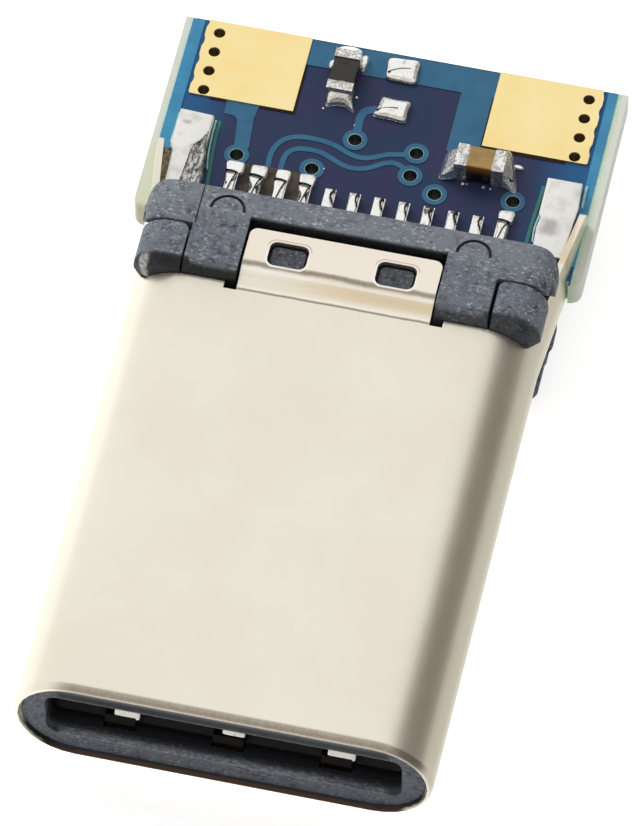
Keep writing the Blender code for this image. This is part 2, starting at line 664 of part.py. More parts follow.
def build_housing():
    outline = []
    side = arc((SHELL_FLAT, 0), HOUSING_RADIUS, -90, 90, 12)
    outline += side + [(-x, -height) for x, height in side]
    housing = section_prism("front_housing", [outline], HOUSING_RECESS, HOUSING_REAR)
    slot = rounded_rectangle(SLOT_WIDTH / 2, SLOT_HEIGHT / 2, SLOT_CORNER, 3)
    cut(housing, section_prism("mating_slot", [slot], -HOUSING_RECESS, HOUSING_REAR * 2, CUTTERS))
    taper_front = HOUSING_RECESS + SLOT_MOUTH_DEPTH
    sections = []
    for depth, widen in ((0.0, 1.0), (taper_front, 1.0), (taper_front + 2 * SLOT_TAPER, -1.0)):
        half_width = SLOT_WIDTH / 2 + widen * SLOT_MOUTH_SIDE
        half_height = SLOT_HEIGHT / 2 + widen * SLOT_MOUTH_RISE
        outline = rounded_rectangle(half_width, half_height, SLOT_CORNER, 3)
        sections.append([place(x, depth, height) for x, height in outline])
    bm = loft(sections)
    bmesh.ops.holes_fill(bm, edges=[e for e in bm.edges if e.is_boundary], sides=0)
    cut(housing, object_from_bmesh("slot_mouth", bm, CUTTERS))
    channel_top = SLOT_HEIGHT / 2 + CHANNEL_RISE
    channel_front = CONTACT_TIP_DEPTH - CHANNEL_LEAD
    half = CONTACT_WIDTH / 2 + SLIDE
    for sign, places in ((1, range(CONTACTS_PER_ROW)), (-1, lower_places())):
        for number in places:
            x = contact_x(number)
            start, end = sorted((0.0, sign * channel_top))
            low = (x - half, channel_front, start)
            cut(housing, block("channel", low, (x + half, HOUSING_REAR * 2, end)))
    arm_half = PLATE_THICKNESS / 2 + SLIDE
    for sign in (-1, 1):
        start, end = sorted((0.0, sign * CLEAR_OF_ALL))
        arm_front = HOOK_DEPTH - ARM_SLOT_LEAD
        cut(housing, block("arm_slot", (start, arm_front, -arm_half), (end, HOUSING_REAR * 2, arm_half)))
    for sign in (-1, 1):
        low, high = sorted((sign * (spring_height() - SPRING_THICKNESS), sign * CLEAR_OF_ALL))
        half_strip = SPRING_WIDTH / 2 + SLIDE
        front, rear = SPRING_STRIP_DEPTH - SLIDE, SPRING_STRIP_DEPTH + SPRING_STRIP + SLIDE
        cut(housing, block("spring_pocket", (-half_strip, front, low), (half_strip, rear, high)))
        low, high = sorted((0.0, sign * CLEAR_OF_ALL))
        for number in SPRING_NUMBERS:
            x = number * SPRING_SPACING
            half = SPRING_FINGER / 2 + SLIDE
            front = SPRING_APEX_DEPTH - SPRING_WINDOW_LEAD
            rear = SPRING_STRIP_DEPTH
            cut(housing, block("spring_window", (x - half, front, low), (x + half, rear, high)))
    return finish(housing, black_plastic())


def spring_height():
    """Height of the shielding spring's strip, just inside the shell."""
    return BORE_RADIUS - FIT - SPRING_THICKNESS / 2


def sprung_strip(name, path, x_low, x_high, thickness):
    """A bent strip along the plug from points given as depth and height."""
    sections = []
    for depth, height in path:
        sections.append([place(x_low, depth, height), place(x_high, depth, height)])
    obj = object_from_bmesh(name, loft(sections, closed=False))
    solidify(obj, thickness, 0.0)
    return obj


def build_spring(name, sign):
    """A strip behind the mouth with three sprung fingers that reach forward into the slot."""
    strip_height = spring_height()
    apex_height = SLOT_HEIGHT / 2 - SPRING_REACH + SPRING_THICKNESS / 2
    root = SPRING_STRIP_DEPTH
    apex = SPRING_APEX_DEPTH
    path = [(root, strip_height), (root - SPRING_ROOT_LENGTH, strip_height - SPRING_ROOT_DROP)]
    path += [(apex + SPRING_HEEL_BACK, apex_height + SPRING_HEEL_RISE)]
    path += [(apex + SPRING_APEX_HALF, apex_height), (apex - SPRING_APEX_HALF, apex_height)]
    path += [(apex - SPRING_TIP_LENGTH, apex_height + SPRING_TIP_RISE)]
    half_finger = SPRING_FINGER / 2
    xs = [-SPRING_WIDTH / 2, SPRING_WIDTH / 2]
    for number in SPRING_NUMBERS:
        xs += [number * SPRING_SPACING - half_finger, number * SPRING_SPACING + half_finger]
    xs.sort()
    rear = root + SPRING_STRIP
    rows = [[place(x, depth, sign * strip_height) for x in xs] for depth in (rear, root)]
    bm = loft(rows, closed=False)
    root_y = place(0, root, 0).y
    edges = []
    for edge in bm.edges:
        middle = (edge.verts[0].co + edge.verts[1].co) / 2
        near_root = all(abs(v.co.y - root_y) < FIT for v in edge.verts)
        on_finger = any(abs(middle.x - n * SPRING_SPACING) < half_finger for n in SPRING_NUMBERS)
        if near_root and on_finger:
            edges.append(edge)
    for depth, height in path[1:]:
        made = bmesh.ops.extrude_edge_only(bm, edges=edges)["geom"]
        verts = [item for item in made if isinstance(item, bmesh.types.BMVert)]
        edges = [e for e in made if isinstance(e, bmesh.types.BMEdge) and all(v in verts for v in e.verts)]
        target = place(0, depth, sign * height)
        for vert in verts:
            vert.co.y = target.y
            vert.co.z = target.z
    spring = object_from_bmesh(name, bm)
    solidify(spring, SPRING_THICKNESS, 0.0)
    return finish(spring, material("spring_steel", (0.78, 0.76, 0.70), 0.30, 1.0))


def contact_path():
    """The centre line of one upper contact from its tip to the end of its tail."""
    tip, half_apex = CONTACT_TIP_DEPTH, CONTACT_APEX_LENGTH / 2
    apex = tip + CONTACT_APEX_BACK
    path = [(tip, CONTACT_APEX + CONTACT_TIP_RISE)]
    path += [(tip + CONTACT_LEAD_LENGTH, CONTACT_APEX + CONTACT_LEAD_RISE)]
    path += [(apex - half_apex, CONTACT_APEX), (apex + half_apex, CONTACT_APEX)]
    path += [(tip + CONTACT_HEEL_BACK, CONTACT_APEX + CONTACT_HEEL_RISE)]
    path += [(HOUSING_REAR - CONTACT_ROOT_LENGTH, CONTACT_HEIGHT), (BOARD_FRONT, CONTACT_HEIGHT)]
    path += [(BOARD_FRONT + TAIL_BEND, TAIL_HEIGHT), (BOARD_FRONT + TAIL_LENGTH, TAIL_HEIGHT)]
    return path


def build_contact(name, x, sign):
    path = [(depth, sign * height) for depth, height in contact_path()]
    half = CONTACT_WIDTH / 2
    contact = sprung_strip(name, path, x - half, x + half, CONTACT_THICKNESS)
    return finish(contact, material("contact_plating", (0.80, 0.78, 0.74), 0.28, 1.0))


def build_contacts():
    for number in range(CONTACTS_PER_ROW):
        build_contact(f"upper_contact_{number + 1:02d}", contact_x(number), 1)
    for number in lower_places():
        build_contact(f"lower_contact_{number + 1:02d}", contact_x(number), -1)


def build_holder(name, sign, places):
    """A moulded block with one open channel for each contact of its row."""
    half_width = HOLDER_WIDTH / 2
    inner = PLATE_THICKNESS / 2 + FIT
    channel_floor = CONTACT_HEIGHT - CONTACT_THICKNESS / 2 - FIT
    front, rear = HOUSING_REAR + SLIDE, BASE_REAR - SLIDE
    low, high = sorted((sign * inner, sign * HOLDER_OUTER))
    holder = block(name, (-half_width, front, low), (half_width, rear, high), PARTS)
    half = CONTACT_WIDTH / 2 + FIT
    low, high = sorted((sign * channel_floor, sign * CLEAR_OF_ALL))
    for number in places:
        x = contact_x(number)
        cut(holder, block("holder_channel", (x - half, -front, low), (x + half, rear * 2, high)))
    return finish(holder, black_plastic())


def build_latch_plate():
    """One flat sheet: centre plate, two sprung latch arms and two legs with solder tabs."""
    arm_outer, arm_inner = ARM_OUTER, ARM_OUTER - ARM_WIDTH
    front = HOUSING_REAR + PLATE_INSET
    plate_half = HOLDER_WIDTH / 2
    rear = BASE_REAR - 2 * BAR_DEPTH
    hook_x = SLOT_WIDTH / 2 - HOOK_REACH
    tip = HOOK_DEPTH
    hook_end = tip + HOOK_LEAD + HOOK_LENGTH
    half = [(0.0, front), (plate_half, front), (plate_half, ARM_ROOT), (arm_inner, ARM_ROOT - ARM_ROOT_SLOPE)]
    half += [(arm_inner, hook_end + HOOK_BACK), (hook_x, hook_end), (hook_x, tip + HOOK_LEAD)]
    half += [(arm_inner, tip), (arm_outer, tip), (arm_outer, ARM_ROOT)]
    half += [(LEG_OUTER, ARM_ROOT + LEG_SHOULDER), (LEG_OUTER, rear), (LEG_INNER, rear)]
    half += [(LEG_INNER, rear - LEG_NOTCH), (0.0, rear - LEG_NOTCH)]
    bm = bmesh.new()
    for side in (-1, 1):
        verts = [bm.verts.new(place(side * x, depth, 0.0)) for x, depth in half]
        bm.faces.new(verts if side == 1 else list(reversed(verts)))
    bmesh.ops.remove_doubles(bm, verts=bm.verts, dist=1e-8)
    height = BOARD_TOP + LAY + PLATE_THICKNESS / 2
    bend = rear + LEG_BEND_START
    neck = (TAB_OUTER - NECK_INSET - NECK_WIDTH, TAB_OUTER - NECK_INSET)
    tab = (TAB_OUTER - TAB_WIDTH, TAB_OUTER)
    steps = [(bend, 0.0, LEG_INNER, LEG_OUTER), (bend + LEG_BEND_LENGTH, height, LEG_INNER, LEG_OUTER)]
    steps += [(BOARD_FRONT, height, LEG_INNER, LEG_OUTER), (BOARD_FRONT + NECK_FLARE, height, *neck)]
    steps += [(TAB_FRONT, height, *neck), (TAB_FRONT + TAB_SHOULDER, height, *tab)]
    steps += [(TAB_FRONT + TAB_LENGTH, height, *tab)]
    rear_y = place(0, rear, 0).y
    edges = [e for e in bm.edges if all(abs(v.co.y - rear_y) < FIT for v in e.verts)]
    for depth, leg_height, x_low, x_high in steps:
        made = bmesh.ops.extrude_edge_only(bm, edges=edges)["geom"]
        verts = [item for item in made if isinstance(item, bmesh.types.BMVert)]
        edges = [e for e in made if isinstance(e, bmesh.types.BMEdge) and all(v in verts for v in e.verts)]
        for edge in edges:
            inner, outer = sorted(edge.verts, key=lambda vert: abs(vert.co.x))
            side = math.copysign(1.0, inner.co.x)
            inner.co = place(side * x_low, depth, leg_height)
            outer.co = place(side * x_high, depth, leg_height)
    plate = object_from_bmesh("latch_plate", bm)
    solidify(plate, PLATE_THICKNESS, 0.0)
    return finish(plate, nickel())


def circle(x, depth, radius, steps=12):
    return arc((x, depth), radius, 0, 360 - 360 / steps, steps - 1)


def pad_via_places(side):
    return [(side * VIA_X, OVERALL_LENGTH - VIA_FROM_REAR - VIA_PITCH * row) for row in range(VIA_ROWS)]


def signal_via_places():
    """Via holes of the signal traces, as x and distance from the board's front edge."""
    return [(x * MM, BOARD_FRONT + y * MM) for x, y in SIGNAL_VIAS_LEFT + SIGNAL_VIAS_RIGHT]


def build_board():
    half = BOARD_WIDTH / 2
    notch = leaf_x(0.0, BOARD_FRONT, SHELL_RADIUS) + SLIDE
    prong_front = BOARD_FRONT - PRONG_LENGTH
    prong_corner = min(PRONG_CORNER, half - notch - FIT)
    outline = []
    for side in (1, -1):
        part = [(side * notch, BOARD_FRONT), (side * notch, prong_front)]
        corner = arc((half - prong_corner, prong_front + prong_corner), prong_corner, -90, 0, 4)
        part += [(side * x, depth) for x, depth in corner]
        part += [(side * half, OVERALL_LENGTH)]
        outline += part if side == 1 else list(reversed(part))
    holes = [circle(x, depth, VIA_RADIUS) for side in (-1, 1) for x, depth in pad_via_places(side)]
    holes += [circle(x, depth, SIGNAL_VIA_RADIUS) for x, depth in signal_via_places()]
    board = plan_plate("circuit_board", [outline] + holes, -BOARD_TOP, BOARD_TOP)
    return finish(board, material("board_mask", (0.045, 0.13, 0.24), 0.35))


def build_wire_pad(name, side, sign):
    """A gold wire pad with four plated holes and a scalloped outer edge round them."""
    outer, inner = WIRE_PAD_OUTER, WIRE_PAD_OUTER - WIRE_PAD_WIDTH
    front = OVERALL_LENGTH - WIRE_PAD_LENGTH
    rear = OVERALL_LENGTH - LAY
    waist = outer - SCALLOP_DEPTH
    outline = [(inner, rear), (inner, front), (waist, front)]
    for x, depth in reversed(pad_via_places(1)):
        outline += [(waist, depth - SCALLOP_LENGTH / 2), (outer, depth - SCALLOP_LENGTH / 4)]
        outline += [(outer, depth + SCALLOP_LENGTH / 4), (waist, depth + SCALLOP_LENGTH / 2)]
    outline += [(waist, rear)]
    outline = [(side * x, depth) for x, depth in outline if depth >= front]
    holes = [circle(x, depth, VIA_RADIUS) for x, depth in pad_via_places(side)]
    low = BOARD_TOP + LAY
    low, high = sorted((sign * low, sign * (low + PAD_THICKNESS)))
    pad = plan_plate(name, [outline] + holes, low, high)
    return finish(pad, gold_plating())


def gold_plating():
    return material("gold_plating", (0.92, 0.74, 0.38), 0.30, 1.0)


def build_signal_pads():
    for number in range(SIGNAL_PADS):
        x = (number - (SIGNAL_PADS - 1) / 2) * SIGNAL_PAD_PITCH
        rear = OVERALL_LENGTH - LAY
        outline = rounded_rectangle(SIGNAL_PAD_WIDTH / 2, SIGNAL_PAD_LENGTH / 2, SIGNAL_PAD_CORNER, 2)
        outline = [(px + x, depth + rear - SIGNAL_PAD_LENGTH / 2) for px, depth in outline]
        high = -(BOARD_TOP + LAY)
        pad = plan_plate(f"lower_signal_pad_{number + 1}", [outline], high - PAD_THICKNESS, high)
        finish(pad, gold_plating())


def chip(name, center, height, turned, body_material):
    """A chip with slightly swollen ends, long way along the plug unless turned."""
    low = BOARD_TOP + LAY
    half_length, half_width = CHIP_LENGTH / 2, CHIP_WIDTH / 2
    swell = CHIP_END_SWELL
    spans = [(-half_length + CHIP_END, half_length - CHIP_END, 0.0)]
    spans += [(-half_length, -half_length + CHIP_END, swell), (half_length - CHIP_END, half_length, swell)]
    body = None
    for start, end, grow in spans:
        size = half_width + grow
        overlap = 0.0 if grow else CHIP_END / 2
        span = (start - overlap, end + overlap)
        xs, depths = ((span, (-size, size)) if turned else ((-size, size), span))
        low_corner = (center[0] + xs[0], center[1] + depths[0], low + swell - grow)
        high_corner = (center[0] + xs[1], center[1] + depths[1], low + swell + height + grow)
        piece = block(name if body is None else "chip_end", low_corner, high_corner,
                      PARTS if body is None else CUTTERS)
        if body is None:
            body = piece
        else:
            join(body, piece)
    return finish(body, body_material)


def solder_mound(name, center, size, height, tall_side=None):
    """A solder mound: a block on the board whose top is drawn in, up one side where it climbs a chip."""
    low = BOARD_TOP + LAY
    half_x, half_depth = size[0] / 2, size[1] / 2
    bm = bmesh.new()
    bmesh.ops.create_cube(bm, size=1.0)
    bmesh.ops.scale(bm, vec=(size[0], size[1], height), verts=bm.verts)
    bmesh.ops.translate(bm, vec=place(center[0], center[1], low + height / 2), verts=bm.verts)
    top = [v for v in bm.verts if v.co.z > place(0, 0, low + height / 2).z]
    middle = place(center[0], center[1], low + height)
    for vert in top:
        vert.co.x += (middle.x - vert.co.x) * MOUND_DRAFT
        vert.co.y += (middle.y - vert.co.y) * MOUND_DRAFT
        if tall_side:
            away = (vert.co.x - middle.x) * tall_side[0] + (vert.co.y - middle.y) * tall_side[1]
            if away < 0:
                vert.co.z -= height * FILLET_FALL
    bmesh.ops.bevel(bm, geom=list(bm.edges), offset=min(half_x, half_depth, height) * MOUND_ROUND, segments=2,
                    profile=0.5, affect="EDGES", material=-1)
    mound = object_from_bmesh(name, bm)
    return finish(mound, material("solder", (0.82, 0.82, 0.82), 0.22, 1.0), 60)


def build_board_parts():
    ceramic = material("resistor_black", (0.03, 0.03, 0.03), 0.4)
    resistor_center = (RESISTOR_X, OVERALL_LENGTH - RESISTOR_FROM_REAR)
    chip("chip_resistor", resistor_center, RESISTOR_HEIGHT, False, ceramic)
    tan = material("capacitor_tan", (0.42, 0.27, 0.15), 0.45)
    tails_end = BOARD_FRONT + TAIL_LENGTH
    pads_front = OVERALL_LENGTH - WIRE_PAD_LENGTH
    capacitor_center = (CAPACITOR_X, tails_end + (pads_front - tails_end) * CAPACITOR_BETWEEN)
    chip("chip_capacitor", capacitor_center, CAPACITOR_HEIGHT, True, tan)
    gap = CHIP_LENGTH / 2 + LAY + CHIP_END_SWELL
    along, across = (FILLET_WIDTH, FILLET_REACH), (FILLET_REACH, FILLET_WIDTH)
    for name, way in (("front", -1), ("rear", 1)):
        center = (resistor_center[0], resistor_center[1] + way * (gap + FILLET_REACH / 2))
        solder_mound(f"resistor_solder_{name}", center, along, RESISTOR_HEIGHT, (0, -way))
    for name, way in (("left", -1), ("right", 1)):
        center = (capacitor_center[0] + way * (gap + FILLET_REACH / 2), capacitor_center[1])
        solder_mound(f"capacitor_solder_{name}", center, across, CAPACITOR_FILLET_HEIGHT, (-way, 0))
    for name, from_rear in (("front", SPARE_FRONT_FROM_REAR), ("rear", SPARE_REAR_FROM_REAR)):
        center = (SPARE_PAD_X, OVERALL_LENGTH - from_rear)
        solder_mound(f"spare_pad_solder_{name}", center, (MOUND_WIDTH, MOUND_LENGTH), MOUND_HEIGHT)


def main():
    clear_scene()
    new_collection(PARTS)
    cutters = new_collection(CUTTERS)
    cutters.hide_render = True
    build_shell()
    build_front_base()
    build_rear_base()
    build_housing()
    build_spring("upper_emc_spring", 1)
    build_spring("lower_emc_spring", -1)
    build_contacts()
    build_holder("upper_contact_holder", 1, range(CONTACTS_PER_ROW))
    build_holder("lower_contact_holder", -1, lower_places())
    build_latch_plate()
    build_board()
    for side, side_name in ((-1, "left"), (1, "right")):
        build_wire_pad(f"upper_wire_pad_{side_name}", side, 1)
        build_wire_pad(f"lower_wire_pad_{side_name}", side, -1)
    build_signal_pads()
    build_board_parts()


main()
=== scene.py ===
import math

import bmesh
import bpy
from mathutils import Matrix, Vector, geometry, noise


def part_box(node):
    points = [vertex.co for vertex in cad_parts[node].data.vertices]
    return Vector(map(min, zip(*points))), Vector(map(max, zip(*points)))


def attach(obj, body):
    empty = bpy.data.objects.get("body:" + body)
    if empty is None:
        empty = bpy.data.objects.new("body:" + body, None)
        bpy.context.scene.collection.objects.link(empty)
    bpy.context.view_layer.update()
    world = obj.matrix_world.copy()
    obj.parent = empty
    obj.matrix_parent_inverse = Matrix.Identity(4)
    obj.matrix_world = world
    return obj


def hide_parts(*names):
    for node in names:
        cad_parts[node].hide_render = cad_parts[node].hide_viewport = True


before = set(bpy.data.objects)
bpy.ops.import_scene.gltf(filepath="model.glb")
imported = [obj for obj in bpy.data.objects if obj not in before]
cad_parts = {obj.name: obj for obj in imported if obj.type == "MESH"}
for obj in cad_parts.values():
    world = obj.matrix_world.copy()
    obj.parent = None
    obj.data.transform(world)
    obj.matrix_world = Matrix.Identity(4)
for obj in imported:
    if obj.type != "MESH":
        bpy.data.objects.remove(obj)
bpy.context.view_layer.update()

bl_info = {
    "name": "Board plug dressing",
    "version": (1, 0, 0),
    "blender": (4, 5, 0),
    "location": "3D View > Sidebar > Plug",
    "description": "Finishes, solder, copper and studio for a connector plug on its circuit board",
    "category": "Object",
}

MM = 0.001
BOARD_LOW, BOARD_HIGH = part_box("circuit_board")
SHELL_LOW, SHELL_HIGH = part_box("shell")
BOARD_TOP = BOARD_HIGH.z / MM
BOARD_UNDERSIDE = BOARD_LOW.z / MM
BOARD_REAR = (BOARD_HIGH.y - SHELL_LOW.y) / MM
HALF_BOARD = BOARD_HIGH.x / MM
MOUTH = SHELL_LOW.y / MM
MIDDLE = (SHELL_LOW.z + SHELL_HIGH.z) / 2 / MM

# Places on the plug, in millimetres across and back from the mouth.
WINDOW_ACROSS, WINDOW_DEPTH = 1.085, 10.6
GATE_ACROSS, GATE_DEPTH = 2.48, 11.35
CRESCENT_ACROSS, CRESCENT_HEIGHT = -3.6, 1.15
PAD_FRONT = 14.8

# Heights over the board's top, in millimetres.
RIM_HEIGHT = 0.06
FILM_HEIGHT = 0.014
BURIED = -0.002

# The camera that was fitted to the plug: degrees, millimetres and pixels.
AZIMUTH, ELEVATION = math.radians(12.597), math.radians(56.161)
TARGET = Vector((0.0, -2.325, 1.5))
SHIFT_RIGHT, SHIFT_UP, DISTANCE = 0.571, 1.614, 172.905
FOCAL_LENGTH, FRAME_HEIGHT = 8868.263, 826
SENSOR = 36.0


def shade(red, green, blue):
    """A colour as it is seen, from 0 to 255, as the linear colour that Blender works with."""
    parts = []
    for level in (red, green, blue):
        level /= 255
        parts.append(level / 12.92 if level <= 0.04045 else ((level + 0.055) / 1.055) ** 2.4)
    return tuple(parts)


def tinted(colour, *shares):
    """A colour whose parts are scaled, all by one share or each by its own."""
    if len(shares) == 1:
        shares *= 3
    return [min(1.0, part * share) for part, share in zip(colour, shares)]


def colour_choice(name, description, default):
    return bpy.props.FloatVectorProperty(
        name=name, description=description, subtype="COLOR", size=3, min=0.0, max=1.0, default=default
    )


def length_choice(name, description, default):
    return bpy.props.FloatProperty(
        name=name, description=description, default=default * MM, precision=6,
        subtype="DISTANCE", unit="LENGTH"
    )


class PlugColours(bpy.types.PropertyGroup):
    shell: colour_choice("Shell", "Satin nickel of the drawn shell", shade(237, 231, 216))
    # This greyer nickel also paints shade and reflection on the shell: the band along the lip, and the
    # tongue's bend and root.
    dull_nickel_and_shade: colour_choice("Shell lip", "Greyer nickel of the drawn-in lip", shade(146, 136, 122))
    inner_metal: colour_choice("Inner metal", "Latch plate and shielding springs", shade(240, 238, 232))
    moulding: colour_choice("Moulding", "Base and housing plastic", shade(124, 130, 140))
    # This fleck colour also paints light: under the lip, on the mouth's lead-in and on the rear tops.
    fleck_and_painted_light: colour_choice("Moulding flecks", "Glass flecks in the plastic", shade(200, 205, 212))
    moulding_dark: colour_choice("Moulding hollows", "Dark grain of the plastic", shade(58, 60, 68))
    # This near-black is painted shade inside the mouth, on front faces, in recesses and seams, and also the
    # colour of the ring mark on the rear bar.
    moulding_shade_and_marks: colour_choice("Moulding inside", "Plastic inside the mouth", shade(20, 19, 22))
    mask: colour_choice("Solder mask", "Mask over bare laminate", shade(44, 58, 92))
    mask_pale: colour_choice("Pale mask", "Mask towards the sides of the board", shade(44, 98, 150))
    copper_mask: colour_choice("Mask over copper", "Mask where copper lies under it", shade(60, 118, 152))
    side_mask: colour_choice("Side mask", "Bright mask along the board's sides", shade(78, 162, 204))
    laminate: colour_choice("Laminate", "Bare glass laminate of the board's edges", shade(246, 250, 236))
    laminate_dark: colour_choice("Laminate shadow", "Browned laminate at the tails", shade(112, 98, 88))
    gold: colour_choice("Gold plating", "Plating of the wire pads", shade(252, 231, 168))
    solder: colour_choice("Solder", "Bright tin of the joints", shade(244, 243, 238))
    # This dark is also painted shade in the solder's creases and down the narrow tails' right sides.
    solder_dark: colour_choice("Solder creases", "Dark folds in the joints", shade(50, 48, 42))
    resistor: colour_choice("Resistor", "Glaze on the resistor's face", shade(50, 49, 46))
    capacitor: colour_choice("Capacitor", "Ceramic of the capacitor's body", shade(186, 154, 92))
    # This pale colour also paints the highlights round the vias.
    mask_rim_and_via_highlight: colour_choice("Mask rim", "Thin edge of the mask at its openings", shade(176, 216, 214))
    gap: colour_choice("Pad gap", "Dark line between a pad and the mask", shade(48, 28, 22))


class PlugBoardSizes(bpy.types.PropertyGroup):
    copper_height: length_choice("Copper height", "How far masked copper stands above the laminate", 0.018)
    trace_width: length_choice("Trace width", "Width of the two signal traces", 0.11)
    ring_radius: length_choice("Ring radius", "Outer radius of the copper ring at a via", 0.25)
    hole_radius: length_choice("Hole radius", "Inner radius of the copper ring at a via", 0.145)


class PlugSolderSizes(bpy.types.PropertyGroup):
    joint_height: length_choice("Joint height", "Height of the solder on the contact tails", 0.2)
    ripple: length_choice("Ripple", "Unevenness of the solder's surface", 0.012)


class PlugStudio(bpy.types.PropertyGroup):
    floor_size: length_choice("Floor size", "Side of the square floor", 3000.0)
    surround: bpy.props.FloatProperty(
        name="Surround", description="Strength of the world's light", default=0.46
    )
    key: bpy.props.FloatProperty(
        name="Key lamp", description="Power of the large lamp", unit="POWER", default=1.5
    )
    flag: colour_choice("Flags", "Grey of the cards that the metal reflects", (0.21, 0.19, 0.17))


def at(x, depth, height=0.0):
    """A place in metres, from millimetres across, back from the mouth and above the board's top."""
    return Vector((x * MM, (depth + MOUTH) * MM, (BOARD_TOP + height) * MM))


def arithmetic(operation, swapped=False):
    """A method for one operator, with its two sides swapped for the reflected form."""

    def method(*values):
        sides = enumerate(values[::-1] if swapped else values)
        return values[0].recipe.node("ShaderNodeMath", {"operation": operation}, dict(sides))

    return method


class Level:
    """A value in a finish. Arithmetic on it adds Math nodes to the material."""

    __add__ = __radd__ = arithmetic("ADD")
    __sub__, __rsub__ = arithmetic("SUBTRACT"), arithmetic("SUBTRACT", True)
    __mul__ = __rmul__ = arithmetic("MULTIPLY")
    __truediv__, __rtruediv__ = arithmetic("DIVIDE"), arithmetic("DIVIDE", True)
    __pow__ = arithmetic("POWER")
    __abs__ = arithmetic("ABSOLUTE")
    higher_of = arithmetic("MAXIMUM")

    def __init__(self, recipe, socket):
        self.recipe = recipe
        self.socket = socket

    def rise(self, start, end):
        """From 0 at start to 1 at end, smoothly."""
        values = {"Value": self, "From Min": start, "From Max": end}
        return self.recipe.node("ShaderNodeMapRange", {"interpolation_type": "SMOOTHSTEP"}, values)

    def fall(self, start, end):
        """From 1 at start to 0 at end, smoothly."""
        return 1 - self.rise(start, end)

    def between(self, start, end, soft):
        """1 between two values, and 0 outside them."""
        return self.rise(start - soft, start + soft) * self.fall(end - soft, end + soft)


def span(across, along):
    """How far a point lies from a middle, from its two distances."""
    return (across * across + along * along) ** 0.5


class Recipe:
    """A node tree, and the one way in which nodes are added to it."""

    def __init__(self, tree):
        self.tree = tree

    def node(self, kind, settings=None, values=None, output=0):
        made = self.tree.nodes.new(kind)
        for name, value in (settings or {}).items():
            setattr(made, name, value)
        for socket, value in (values or {}).items():
            self.feed(made.inputs[socket], value)
        return Level(self, made.outputs[output])

    def feed(self, socket, value):
        if isinstance(value, Level):
            self.tree.links.new(value.socket, socket)
        elif socket.type == "RGBA":
            socket.default_value = (*value, 1.0)
        else:
            socket.default_value = value

    def background(self):
        """1 for the rays that show the background: camera, glossy and transmission."""
        rays = ("Is Camera Ray", "Is Glossy Ray", "Is Transmission Ray")
        camera, glossy, through = (self.node("ShaderNodeLightPath", output=ray) for ray in rays)
        return camera.higher_of(glossy).higher_of(through)


class Finish(Recipe):
    """A material whose nodes read the object's own coordinates in millimetres."""

    def __init__(self, name, **constants):
        self.material = bpy.data.materials.new(name)
        self.material.use_nodes = True
        super().__init__(self.material.node_tree)
        self.shader = self.tree.nodes["Principled BSDF"]
        for socket, value in constants.items():
            self.vary(socket.replace("_", " ").title().replace("Ior", "IOR"), value)
        place = self.node("ShaderNodeTexCoord", output="Object")
        scaled = {0: place, "Scale": 1 / MM}
        self.place = self.node("ShaderNodeVectorMath", {"operation": "SCALE"}, scaled)
        parts = (self.node("ShaderNodeSeparateXYZ", None, {0: self.place}, axis) for axis in "XYZ")
        self.x, self.y, self.z = parts

    def vary(self, socket, value):
        self.feed(self.shader.inputs[socket], value)

    def measures(self):
        """Distances from the plug's middle line, back from the mouth and above the mouth's middle."""
        return abs(self.x), self.y - MOUTH, self.z - MIDDLE

    def stretched(self, x, y, z):
        return self.node("ShaderNodeMapping", None, {"Vector": self.place, "Scale": (x, y, z)})

    def grain(self, scale, detail=4.0, roughness=0.6, place=None, warp=0.0):
        values = {"Vector": place or self.place, "Scale": scale, "Detail": detail, "Roughness": roughness}
        values["Distortion"] = warp
        return self.node("ShaderNodeTexNoise", None, values)

    def mix(self, first, second, factor):
        return self.node("ShaderNodeMix", {"data_type": "RGBA"}, {0: factor, 6: first, 7: second}, 2)

    def lay(self, colour, share):
        """Lay a colour over the body's colour."""
        self.body = self.mix(self.body, colour, share)

    def cover(self, roughness, height, depth, strength):
        """Give the surface its body colour, its roughness, and bumps of a depth in millimetres."""
        bumps = {"Strength": strength, "Distance": depth * MM, "Height": height}
        self.vary("Base Color", self.body)
        self.vary("Roughness", roughness)
        self.vary("Normal", self.node("ShaderNodeBump", None, bumps))
        return self


def colours():
    return bpy.context.scene.plug_colours


def dress(finish, *nodes):
    """Give CAD nodes their finish."""
    for name in nodes:
        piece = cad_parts[name]
        if not piece.material_slots:
            piece.data.materials.append(None)
        for slot in piece.material_slots:
            slot.material = finish.material


def round_off(*nodes, angle=28.0):
    """Shade the drawn curves of CAD nodes smoothly and keep their corners crisp."""
    for name in nodes:
        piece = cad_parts[name]
        piece.data.shade_smooth()
        weld = piece.modifiers.new("joined faces", "WELD")
        weld.merge_threshold = 0.001 * MM
        split = piece.modifiers.new("crisp corners", "EDGE_SPLIT")
        split.split_angle = math.radians(angle)


def linked(name, bm, finish):
    """An object in the scene, from a finished bmesh."""
    mesh = bpy.data.meshes.new(name)
    bm.to_mesh(mesh)
    bm.free()
    mesh.materials.append(finish.material)
    made = bpy.data.objects.new(name, mesh)
    bpy.context.scene.collection.objects.link(made)
    return made


def new_piece(name, bm, finish, replaced=()):
    """Turn a finished bmesh into a piece that rides with the plug."""
    bmesh.ops.recalc_face_normals(bm, faces=bm.faces[:])
    piece = linked(name, bm, finish)
    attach(piece, "root")
    if replaced:
        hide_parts(*replaced)
    return piece


def raise_faces(bm, faces, height):
    """Give flat faces a thickness upwards."""
    raised = bmesh.ops.extrude_face_region(bm, geom=faces, use_keep_orig=True)
    corners = [part for part in raised["geom"] if isinstance(part, bmesh.types.BMVert)]
    bmesh.ops.translate(bm, verts=corners, vec=(0.0, 0.0, height * MM))


def plate(bm, outline, height, low=BURIED):
    """A thin plate on the board, from its outline in millimetres."""
    corners = [bm.verts.new(at(x, depth, low)) for x, depth in outline]
    raise_faces(bm, [bm.faces.new(corners)], height - low)


def strip(bm, left, right, front, rear, height):
    plate(bm, [(left, front), (right, front), (right, rear), (left, rear)], height)


